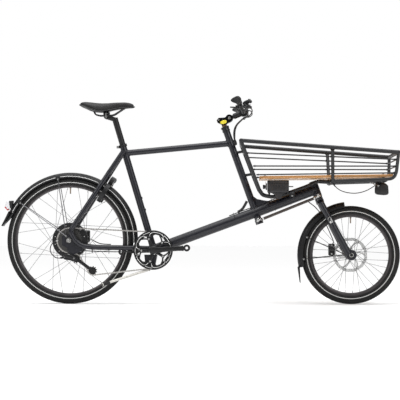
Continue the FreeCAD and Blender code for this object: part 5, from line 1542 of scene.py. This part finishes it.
seal_rubber, shade = surface("seal_rubber", (0.012, 0.012, 0.012), 0.7)
plug(seal_rubber, "Roughness", shade.noise(200.0, 2.0) * 0.2 + 0.6)
case_grey, shade = surface("case_moulding", (0.020, 0.019, 0.021), 0.5)
wipe = shade.noise(22.0, 4.0)
plug(case_grey, "Base Color", shade.mix(wipe, (0.017, 0.0165, 0.018, 1), (0.026, 0.025, 0.028, 1)))
plug(case_grey, "Roughness", wipe * 0.2 + 0.4)
bump(case_grey, shade, shade.noise(1500.0, 2.0), 0.00006, 0.5)
dress(case_grey, "control_box")
piece("case_seal", *seam(case_low, case_high, seal_z, 0.0002, 0.0011), seal_rubber, "frame", "black_plastic")
ribs = [lathe(mm(x, -91.8, 590), Vector((0, 0, 1)), [(0, 0.0), (0, 0.0011), (0.024, 0.0011), (0.024, 0.0)],
              10)
        for x in range(372, 440, 8)]
piece("case_ribs", *joined(*ribs), dark_plastic, "frame", "black_plastic")
lay("case_screws", screw_head, [(mm(x, -92, z), across, 0.0065) for x in (356, 451) for z in (586, 632)],
    "frame", black_steel)
pale_plate, shade = surface("pale_plate", (0.55, 0.56, 0.57), 0.4)
plug(pale_plate, "Roughness", shade.noise(150.0, 3.0) * 0.25 + 0.3)
plate_loops = []
for reach, share in ((0.0, 1.0), (0.0012, 1.0), (0.0020, 0.94)):
    plate_loops.append([Vector((0.3409 - reach,
                                -0.063 + 0.021 * share * math.copysign(abs(math.cos(a)) ** 0.35, math.cos(a)),
                                0.6130 + 0.0205 * share * math.copysign(abs(math.sin(a)) ** 0.35,
                                                            math.sin(a))))
                        for a in (math.tau * k / 40 for k in range(40))])
piece("case_plate", *rings(plate_loops), pale_plate, "frame", "silver_alloy")
knob = [(0.0, 0.0108), (0.0012, 0.0112), (0.0050, 0.0112), (0.0062, 0.0100), (0.0064, 0.0)]
piece("case_knob", *lathe(mm(331.2, -63, 606), Vector((-1, 0, 0)), knob, 32), dark_plastic, "frame",
      "black_plastic")
glands = [lathe(mm(x, -66, 578.5), Vector((0, 0, -1)),
                [(0, 0.0075), (0.004, 0.0075), (0.005, 0.0055), (0.011, 0.0048), (0.012, 0.003)],
                12) for x in (358, 452)]
piece("case_glands", *joined(*glands), dark_plastic, "frame", "black_plastic")


# --- Headlight ----------------------------------------------------------------------------------
# A black moulded lamp that tilts on its bracket. A fluted reflector sits behind a clear lens in a
# raised bezel, and a sensor window shows below.
lamp_axis = Vector((1, 0, 0.1)).normalized()
lamp_face = mm(969, 0, 594)
low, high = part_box("headlight")
lamp_top = [(906, 590, 22), (910, 600, 25), (920, 600, 27), (936, 599, 27), (952, 597, 27), (964, 594, 26.5),
            (973, 591, 25)]
half_height = (14, 30, 33.5, 34, 33, 29, 23)
loops = []
for (x, z, half), tall in zip(lamp_top, half_height):
    loop = []
    for k in range(32):
        a = math.tau * k / 32
        c, s = math.cos(a), math.sin(a)
        loop.append(mm(x, half * math.copysign(abs(c) ** 0.6, c),
                       min(631, z + tall * math.copysign(abs(s) ** 0.6, s))))
    loops.append(loop)
lamp_shell = piece("lamp_shell", *rings(loops), dark_plastic, "headlight", "black_plastic", 50)
bezel = [(-0.006, 0.0), (-0.006, 0.0240), (0.0030, 0.0236), (0.0048, 0.0222), (0.0042, 0.0208),
         (-0.0010, 0.0200), (-0.0010, 0.0)]
piece("lamp_bezel", *lathe(lamp_face, lamp_axis, bezel, 48), dark_plastic, "headlight", "black_plastic")
bracket_arms = []
for side in (-1, 1):
    arm = [mm(884, side * 15, 629), mm(896, side * 18, 624), mm(908, side * 22, 617), mm(921, side * 25, 612)]
    bracket_arms.append(tube_along(smooth_line(arm, per_run=4), 0.0042, 10, shape=(0.45, 1.0)))
bracket_arms.append(lathe(mm(884, -15, 629), SIDEWAYS,
                          [(0, 0.0), (0, 0.0045), (0.030, 0.0045), (0.030, 0.0)], 16))
piece("lamp_bracket_arms", *joined(*bracket_arms), stainless, "frame", "steel", 50)
lay("lamp_bracket_screws", screw_head, [(mm(886, side * 18.5, 628), SIDEWAYS * side, 0.010) for side in (-1,
                                                            1)],
    "frame", stainless)
mirror_metal, shade = surface("lamp_reflector", (0.85, 0.85, 0.86), 0.10, 1.0)
x, y, z = shade.axes()
flutes = shade.wave(y * 1800.0)
plug(mirror_metal, "Roughness", shade.noise(200.0, 2.0) * 0.10 + 0.06)
bump(mirror_metal, shade, flutes, 0.0006, 0.8)
bowl = [(-0.0006, 0.0196), (-0.0010, 0.0130), (-0.0014, 0.0060), (0.0010, 0.0045), (0.0012, 0.0)]
piece("lamp_bowl", *lathe(lamp_face, lamp_axis, bowl, 40), mirror_metal, "headlight", "clear_plastic")
clear, shade = surface("clear_lens", (0.92, 0.93, 0.95), 0.05, 0.0, Transmission_Weight=0.9, IOR=1.49)
plug(clear, "Roughness", shade.noise(60.0, 2.0) * 0.06 + 0.03)
pane = [(0.0012, 0.0), (0.0012, 0.0204), (0.0030, 0.0204), (0.0046, 0.0150), (0.0054, 0.0080), (0.0056, 0.0)]
lens_piece = piece("lamp_lens", *lathe(lamp_face, lamp_axis, pane, 48), clear, "headlight", "clear_plastic")
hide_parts("headlight_lens")
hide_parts("headlight")
lay("lamp_pivot_bolts", screw_head, [(mm(921, -27.0, 612), across, 0.011),
                                     (mm(921, 27.0, 612), -across, 0.011)], "headlight",
    stainless)


# --- Mudguards, flaps and tail light ------------------------------------------------------------
# Rolled aluminium-core mudguards with a black film. A fine white line runs along the rear one's
# side. Wire stays end in black clips; rubber flaps hang from both ends that need them.
guard_film, shade = surface("mudguard_film", (0.008, 0.008, 0.009), 0.40, Specular_IOR_Level=0.3)
scuff = shade.noise(45.0, 4.0)
plug(guard_film, "Base Color", shade.mix(scuff, (0.006, 0.006, 0.007, 1), (0.0065, 0.0065, 0.0070, 1)))
plug(guard_film, "Roughness", scuff * 0.2 + 0.32)
bump(guard_film, shade, shade.noise(300.0, 2.0), 0.00008, 0.4)
dress(guard_film, "rear_mudguard")
front_film, shade = surface("front_mudguard_film", (0.008, 0.008, 0.009), 0.40, Specular_IOR_Level=0.3)
scuff = shade.noise(45.0, 4.0)
plug(front_film, "Base Color", shade.mix(scuff, (0.006, 0.006, 0.007, 1), (0.0065, 0.0065, 0.0070, 1)))
plug(front_film, "Roughness", scuff * 0.2 + 0.32)
bump(front_film, shade, shade.noise(300.0, 2.0), 0.00008, 0.4)
dress(front_film, "front_mudguard")
white_film, shade = surface("white_pinstripe", (0.70, 0.70, 0.69), 0.45)
plug(white_film, "Roughness", shade.noise(120.0, 2.0) * 0.2 + 0.35)
lines = []
for start, end in ((-1, 99), (103, 141), (145, 154)):
    for side in (-1, 1):
        arc = [on_wheel(REAR, 0.3335, start + (end - start) * k / 40, side * 0.0277) for k in range(41)]
        lines.append(tube_along(arc, 0.0014, 6))
piece("guard_pinstripe", *joined(*lines), white_film, "frame", "silver_alloy")


def hanging_flap(path, half, depth, thick):
    """A rubber flap that is curved across like its mudguard and flattens towards its lip."""
    loops = []
    for i, (x, z) in enumerate(path):
        after, before = path[min(i + 1, len(path) - 1)], path[max(i - 1, 0)]
        run = (mm(after[0], 0, after[1]) - mm(before[0], 0, before[1])).normalized()
        inwards = run.cross(SIDEWAYS)
        curve = depth * (1 - i / (len(path) - 1)) + 0.002
        loop = []
        for skin, order in ((0.0, range(-6, 7)), (thick, range(6, -7, -1))):
            for k in order:
                share = k / 6
                loop.append(mm(x, half * share, z) + inwards * (curve * share * share + skin))
        loops.append(loop)
    return rings(loops)


piece("rear_flap", *hanging_flap([(-989, 484), (-996, 468), (-1005, 450), (-1017, 430), (-1031, 409)], 26,
                                 0.020, 0.0025),
      dark_plastic, "frame", "black_plastic", 50)
wire_steel = metal("stay_wire", (0.22, 0.22, 0.23), 0.32)
clips, wires = [], []
for degrees in (143.0, 101.0):
    high_end = on_wheel(REAR, 0.322, degrees)
    for side in (-1, 1):
        start, end = Vector((high_end.x, side * 0.031, high_end.z)), mm(-690, side * 77, 352)
        wires.append(tube_along([start.lerp(end, k / 8) for k in range(9)], 0.00215, 10))
        clips.append(lathe(Vector((high_end.x, side * 0.0275, high_end.z)), SIDEWAYS * side,
                           [(0, 0.0), (0, 0.0085), (0.006, 0.0085), (0.009, 0.0060), (0.009, 0.0)], 20))
piece("rear_stay_wires", *joined(*wires), wire_steel, "frame", "steel")
piece("rear_stay_clips", *joined(*clips), dark_plastic, "frame", "black_plastic")
clips = []
for degrees in (158.0, 185.0):
    high_end = on_wheel(FRONT, 0.244, degrees)
    for side in (-1, 1):
        clips.append(lathe(Vector((high_end.x, side * 0.0285, high_end.z)), SIDEWAYS * side,
                           [(0, 0.0), (0, 0.0085), (0.006, 0.0085), (0.009, 0.0060), (0.009, 0.0)], 20))
piece("front_stay_clips", *joined(*clips), dark_plastic, "fork", "black_plastic")
for body, degrees, axle, radius, y in (("frame", (143.0, 101.0), REAR, 0.322, 0.0365),
                                       ("fork", (158.0, 185.0), FRONT, 0.244, 0.0375)):
    lay("clip_screws_" + body, screw_head, [(on_wheel(axle, radius, d, side * y), SIDEWAYS * side, 0.0075)
                                            for d in degrees for side in (-1, 1)], body, stainless)

red, shade = surface("red_lens", (0.45, 0.008, 0.012), 0.12, 0.0, Coat_Weight=0.6)
x, y, z = shade.axes()
prism = shade.wave(y * 2600.0) * shade.wave(z * 2600.0)
plug(red, "Base Color", shade.mix(shade.noise(200.0, 2.0), (0.34, 0.004, 0.008, 1), (0.55, 0.012, 0.018, 1)))
bump(red, shade, prism, 0.0004, 0.7)
milky, shade = surface("milky_lens", (0.72, 0.72, 0.74), 0.18, 0.0, Coat_Weight=0.6)
plug(milky, "Base Color", shade.mix(shade.noise(120.0, 2.0), (0.62, 0.62, 0.64, 1), (0.80, 0.80, 0.82, 1)))
bump(milky, shade, shade.noise(700.0, 1.0), 0.0002, 0.5)


def lens_block(points, half, inset):
    """A lens with softened sides from its outline in the bicycle's plane."""
    centre = sum((Vector((x, 0, z)) for x, z in points), Vector()) / len(points)
    loops = []
    for y, share in ((-half, 0.88), (-half + inset, 1.0), (half - inset, 1.0), (half, 0.88)):
        loops.append([(centre + (Vector((x, 0, z)) - centre) * share + SIDEWAYS * y) / 1000 for x,
                      z in points])
    return rings(loops)


housing = piece("tail_light_housing", *lens_block([(-975, 537), (-996, 535.5), (-991, 512), (-987, 497),
                                                   (-978, 499)], 23.5, 3),
                dark_plastic, "frame", "black_plastic")
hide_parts("tail_light")
piece("tail_light_clear", *lens_block([(-994, 535.5), (-1009, 533.5), (-1015.5, 508), (-1004, 492),
                                       (-988, 496), (-992, 512)],
                                      23.9, 3), milky, "frame", "clear_plastic")
piece("tail_light_red", *lens_block([(-1012, 517), (-1018.3, 501), (-1004.0, 485.0), (-996, 489),
                                     (-1006, 503)], 22.5, 3), red,
      "frame", "clear_plastic")


# --- Ring lock, stand and brackets --------------------------------------------------------------
# A frame lock in black-painted steel with a grey key block; a two-legged stand in cast alloy with
# rubber feet.
lock_centre = pivot["lock_close"]
lock_along = Vector((math.cos(math.radians(57)), 0, math.sin(math.radians(57))))
lock_face = Vector((lock_along.z, 0, -lock_along.x))
grey_plastic, shade = surface("grey_moulding", (0.085, 0.088, 0.092), 0.45)
plug(grey_plastic, "Roughness", shade.noise(160.0, 3.0) * 0.2 + 0.35)
bump(grey_plastic, shade, shade.noise(1200.0, 2.0), 0.00008, 0.5)
key_face = lock_centre + lock_along * 0.084 + lock_face * 0.0161
piece("lock_key_ring", *lathe(key_face - lock_face * 0.004, lock_face,
                              [(0, 0.0), (0, 0.0092), (0.0044, 0.0092), (0.0054, 0.0080),
                                                                    (0.0054, 0.0045), (0.0030, 0.0042),
                                                            (0.0030, 0.0)], 32),
      grey_plastic, "frame", "silver_alloy")
block_loops = []
for reach, share in ((-0.0122, 0.95), (-0.010, 1.0), (0.010, 1.0), (0.0122, 0.95)):
    block_loops.append([lock_centre + lock_along * (0.0875 + 0.0105 * share * math.copysign(abs(math.sin(a)) ** 0.5, math.sin(a)))
                        + SIDEWAYS * 0.030 * share * math.copysign(abs(math.cos(a)) ** 0.5,
                                                            math.cos(a)) + lock_face * reach
                        for a in (math.tau * k / 32 for k in range(32))])
piece("lock_head_cover", *rings(block_loops), grey_plastic, "frame", "silver_alloy")

cast, shade = surface("cast_alloy", (0.62, 0.60, 0.56), 0.42, 0.85)
lump = shade.noise(55.0, 4.0)
plug(cast, "Base Color", shade.mix(lump, (0.46, 0.45, 0.42, 1), (0.70, 0.68, 0.64, 1)))
plug(cast, "Roughness", lump * 0.22 + 0.32)
bump(cast, shade, shade.noise(600.0, 3.0), 0.0002, 0.5)
dress(cast, "kickstand")
foot_at, leg_run = mm(-489, -105, 107), (mm(-489, -105, 107) - mm(-330, -64, 158)).normalized()
feet = []
for side in (1, -1):
    at, run = Vector((foot_at.x, side * foot_at.y, foot_at.z)), Vector((leg_run.x, side * leg_run.y,
                                                            leg_run.z))
    profile = [(-0.030, 0.0070), (-0.029, 0.0092), (-0.004, 0.0100), (0.006, 0.0112), (0.0115, 0.0104),
               (0.0125, 0.0)]
    feet.append(lathe(at, run, profile, 28))
piece("stand_feet", *joined(*feet), grip_rubber, "kickstand", "grip_rubber")
lay("stand_bolts", screw_head, [(mm(-250, -27, 192), across, 0.013), (mm(-250, 27, 192), -across, 0.013)],
    "frame", stainless)


# --- Fork and its fittings ----------------------------------------------------------------------
# Tapered alloy legs welded to a crown, painted with the frame. A polished plate is riveted to the
# leg, a screw closes the axle end, and the crown carries the bolt of the mudguard.
dress(frame_paint, "fork")
leg_top = CROWN + head_axis * -0.0185 + mm(4, -54, -8)
leg_low = FRONT + mm(-14, -69, 2)
leg_run = (leg_low - leg_top).normalized()
leg_side = leg_run.cross(Vector((0, -1, 0))).normalized()
patch = []
for reach, share in ((0.0, 1.0), (0.0007, 1.0), (0.0012, 0.95)):
    outline = []
    for k in range(40):
        a = math.tau * k / 40
        long = 0.0155 * math.copysign(abs(math.cos(a)) ** 0.4, math.cos(a)) * share
        wide = 0.0105 * math.copysign(abs(math.sin(a)) ** 0.4, math.sin(a)) * share
        share_down = 0.33 + long / (leg_low - leg_top).length
        r = 0.016 + 0.003 * share_down
        bend = wide / r
        outward = Vector((0, -1, 0)) * math.cos(bend) + leg_side * math.sin(bend)
        outline.append(leg_top + leg_run * (share_down * (leg_low - leg_top).length) + outward * (r + 0.0002 + reach))
    patch.append(outline)
plate_points, plate_faces = rings(patch, caps=False)
plate_faces.append(tuple(range(80, 120)))
plate_faces.append(tuple(range(40))[::-1])
piece("fork_plate", plate_points, plate_faces, stainless, "fork", "silver_alloy", 50)
lay("fork_axle_bolts", screw_head, [(FRONT + SIDEWAYS * side * 0.0762, SIDEWAYS * side,
                                     0.016) for side in (-1, 1)], "fork",
    black_steel)
crown_front = CROWN + head_axis * -0.0185 + Vector((head_axis.z, 0, -head_axis.x)) * 0.0172
lay("crown_bolt", screw_head, [(crown_front, Vector((head_axis.z, 0, -head_axis.x)), 0.012)], "fork",
    stainless)
for name, axle, at, body in (("front_caliper", FRONT, mm(683, 41, 282), "fork"),
                             ("rear_caliper", REAR, mm(-596, 52, 352), "frame")):
    low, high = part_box(name)
    bolts = [(Vector((at.x + dx, low.y - 0.0001, at.z + dz)), across, 0.009) for dx,
             dz in ((0, -0.022), (0, 0.022))]
    bolts += [(Vector((p.x, high.y + 0.0001, p.z)), -across, 0.009) for p, o, s in bolts]
    lay(name + "_bolts", screw_head, bolts, body, stainless)
    piston = lathe(Vector((at.x, high.y - 0.0005, at.z)), SIDEWAYS,
                   [(0, 0.0), (0, 0.0125), (0.0030, 0.0125), (0.0042, 0.0110),
                                                                    (0.0042, 0.0)], 32)
    piston_near = lathe(Vector((at.x, low.y + 0.0005, at.z)), -SIDEWAYS,
                        [(0, 0.0), (0, 0.0125), (0.0030, 0.0125),
                                                                         (0.0042, 0.0110), (0.0042, 0.0)], 32)
    piece(name + "_caps", *joined(piston, piston_near), black_alloy, body, "black_alloy")


# --- Bottle bosses, brackets and clips ----------------------------------------------------------
# Screws in the bottle bosses, the plates that tie the carrier to the boom, and the moulded clips
# that hold the cables on the boom.
seat_out = seat_axis.cross(SIDEWAYS)
seat_out = seat_out if seat_out.x > 0 else -seat_out
lay("carrier_bracket_bolts", screw_head, [(mm(477, side * 46.4, z), SIDEWAYS * side, 0.010) for side in (-1,
                                                            1)
                                          for z in (560, 578)], "frame", stainless)
lay("dropout_bolts", screw_head, [(mm(-690, side * 73.6, 352), SIDEWAYS * side, 0.0095) for side in (-1, 1)],
    "frame", stainless)
lay("axle_nuts", screw_head, [(REAR + SIDEWAYS * side * 0.0865, SIDEWAYS * side, 0.017) for side in (-1, 1)],
    "frame",
    stainless)
nuts = []
for side in (-1, 1):
    nuts.append(lathe(REAR + SIDEWAYS * side * 0.0740, SIDEWAYS * side,
                      [(0, 0.0), (0, 0.0135), (0.0022, 0.0135), (0.0022, 0.0108), (0.0100, 0.0106),
                       (0.0118, 0.0092), (0.0118, 0.0)], 6))
piece("axle_hex_nuts", *joined(*nuts), steel_parts, "frame", "steel", 20)

# --- Cables and hoses ---------------------------------------------------------------------------
# Black jackets over steel cables and hydraulic hoses. They are held along the frame, and loop free
# only at the derailleur, at the rear brake, and from the bar to the head tube.
jacket, shade = surface("cable_jacket", (0.009, 0.009, 0.009), 0.42)
scuff = shade.noise(120.0, 3.0)
plug(jacket, "Base Color", shade.mix(scuff, (0.011, 0.011, 0.011, 1), (0.0130, 0.0130, 0.0130, 1)))
plug(jacket, "Roughness", scuff * 0.2 + 0.32)
bump(jacket, shade, shade.noise(900.0, 1.0), 0.00006, 0.4)


def spline(name, points, diameter, steps=8):
    """A round cable on one smooth line with these control points, in millimetres."""
    curve = bpy.data.curves.new(name, "CURVE")
    curve.dimensions = "3D"
    line = curve.splines.new("NURBS")
    line.points.add(len(points) - 1)
    for point, at in zip(line.points, points):
        point.co = (*(Vector(at) / 1000), 1)
    line.order_u = 3
    line.use_endpoint_u = True
    line.resolution_u = 10
    curve.bevel_depth = diameter / 2
    curve.bevel_resolution = steps
    curve.use_fill_caps = True
    curve.materials.append(jacket)
    return link(bpy.data.objects.new(name, curve))


cable_runs = (
    ("cable_behind_head", ((243, 0, 534), (228, 0, 505), (213, 0, 486), (195, 0, 477)), 0.014),
    ("cable_on_boom", ((150, 14, 457.5), (235, 12, 490), (262, 21, 499)), 0.005),
    ("cable_front_boom", ((336, 22, 526), (420, 20, 560), (505, 18, 593)), 0.005),
    ("cable_under_stay", ((-594, -69, 277), (-555, -69, 275), (-500, -62, 272.5), (-420, -56, 271),
                          (-340, -40, 271)), 0.005),
    ("derailleur_loop", ((-706, -72, 241), (-735, -72, 236), (-760, -70, 251), (-777, -68, 281),
                         (-763, -66, 322),
                         (-733, -64, 330)), 0.005),
    ("rear_brake_hose", ((-571, 55, 335), (-545, 62, 318), (-510, 66, 309), (-470, 59, 309)), 0.005),
)
meshes = []
for name, points, diameter in cable_runs:
    run = spline(name, points, diameter, 4)
    bpy.context.view_layer.update()
    mesh = bpy.data.meshes.new_from_object(run.evaluated_get(bpy.context.evaluated_depsgraph_get()))
    meshes.append(([v.co.copy() for v in mesh.vertices], [tuple(p.vertices) for p in mesh.polygons]))
    bpy.data.objects.remove(run)
held = piece("held_cables", *joined(*meshes), jacket, "frame", "cable_jacket", 60)
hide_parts("frame_cables")

ferrules = []
for at, along, r in ((mm(-706, -72, 241), mm(-29, 0, -5), 0.0033),
                     (mm(-733, -64, 330), mm(-30, -2, -8), 0.0033),
                     (mm(-571, 55, 335), mm(26, 7, -17), 0.0042)):
    ferrules.append(lathe(at, along, [(0, 0.0), (0, r), (0.010, r), (0.0115, r * 0.85), (0.0115, 0.0)], 16))
piece("cable_ferrules", *joined(*ferrules), stainless, "frame", "steel")


def tie(centre, along, wide, high):
    """A flat nylon band round a tube and its cable, with its square lock."""
    along = along.normalized()
    up = square_to(along)[0]
    side = along.cross(up)
    line = [centre + up * high * math.cos(a) + side * wide * math.sin(a) for a in (math.tau * k / 32 for k in range(32))]
    return tube_along(line, 0.0014, 8, closed=True)


boom_run = (BOOM_KINK - BRACKET).normalized()
front_run = (BOOM_END - BOOM_KINK).normalized()
ties = [tie(mm(182, 7, 443.5), boom_run, 0.0325, 0.0315), tie(mm(380, 10, 515), front_run, 0.033, 0.0325),
        tie(mm(460, 10, 546), front_run, 0.033, 0.0325),
        tie(mm(-555, -73.5, 286), Vector((1, 0, 0)), 0.0155, 0.0205),
        tie(mm(-470, -58.5, 282.5), Vector((1, 0.1, 0)), 0.0155, 0.0205)]
piece("cable_ties", *joined(*ties), dark_plastic, "frame", "black_plastic")

# The two hoses from the bar: each is one line cut in three lengths, over the stem's pivot, the height tube and the
# head tube.
bushing = lathe(mm(174.5, 0, 853), head_axis * -1,
                [(0, 0.0), (0, 0.0085), (0.004, 0.0105), (0.022, 0.0105), (0.030, 0.0070),
                                                  (0.032, 0.0)], 24)
piece("hose_bushing", *bushing, dark_plastic, "frame", "black_plastic")
hose_line = ((226, -26, 965), (204, -16, 947), (184, -10, 926), (175, -9, 899), (174, -9, 872),
             (178, -9, 850))
second_line = tuple((x + 6, y + 17, z + 3) for x, y, z in hose_line[:-1]) + ((180, 9, 853),)
cuts = (((226, 0, 968), (200, 0, 943), "stem", "lifter"),
        ((192, 0, 936), (181, 0, 912), "lifter", "steering_column"),
        ((178, 0, 905), (179, 0, 852), "steering_column", "frame"))
for word, points in (("right", hose_line), ("left", second_line)):
    run = spline("hose_" + word, points, 0.005, 4)
    run.data.bevel_depth = 0
    bpy.context.view_layer.update()
    centre = bpy.data.meshes.new_from_object(run.evaluated_get(bpy.context.evaluated_depsgraph_get()))
    line = [v.co.copy() for v in centre.vertices]
    bpy.data.objects.remove(run)
    first_cut = min(range(len(line)), key=lambda i: abs(line[i].z - 0.940))
    second_cut = min(range(len(line)), key=lambda i: abs(line[i].z - 0.909))
    for part, (low, high, (start, end, upper, lower)) in enumerate(zip((0, first_cut, second_cut),
                                                                   (first_cut, second_cut, len(line) - 1),
                                                            cuts)):
        length = piece(f"hose_{word}_{part}", *tube_along(line[low:high + 1], 0.0030, 12), jacket, angle=60)
        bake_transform(length)
        if part == 0:
            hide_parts("steering_hoses")

# The front brake's hose leaves the boom, crosses to the left leg, and runs down it to the caliper.
span = smooth_line([mm(549, 22, 540), mm(572, 34, 524), mm(598, 50, 504), mm(622, 62, 478)], per_run=8)
hose = piece("front_brake_span", *tube_along(span, 0.0025, 12), jacket, angle=60)
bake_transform(hose)
drop = smooth_line([mm(622, 62, 478), mm(644, 74, 440), mm(676, 88, 372), mm(694, 78, 326),
                    mm(690, 58, 313)], per_run=8)
piece("front_brake_drop", *tube_along(drop, 0.0025, 12), jacket, "fork", "cable_jacket", 60)

# The lamp's cable leaves the cradle, hangs below the deck in one slack curve, and ends in the lamp.
LAMP_ROUTE = ((690, -30, 621), (704, -29, 603), (729, -26, 586), (764, -22, 576), (806, -16, 573),
              (848, -10, 582),
              (882, -5, 598), (907, -3, 615))
lamp_cable = spline("lamp_cable", LAMP_ROUTE, 0.0045, 6)
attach(lamp_cable, "frame")
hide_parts("headlight_cable")
relief = lathe(mm(690, -30, 621), mm(14, 1, -18), [(-0.004, 0.0046), (0.0, 0.0048), (0.003, 0.0040),
                                                   (0.016, 0.0028), (0.018, 0.0024)], 16)
piece("lamp_cable_relief", *relief, dark_plastic, "frame", "black_plastic")
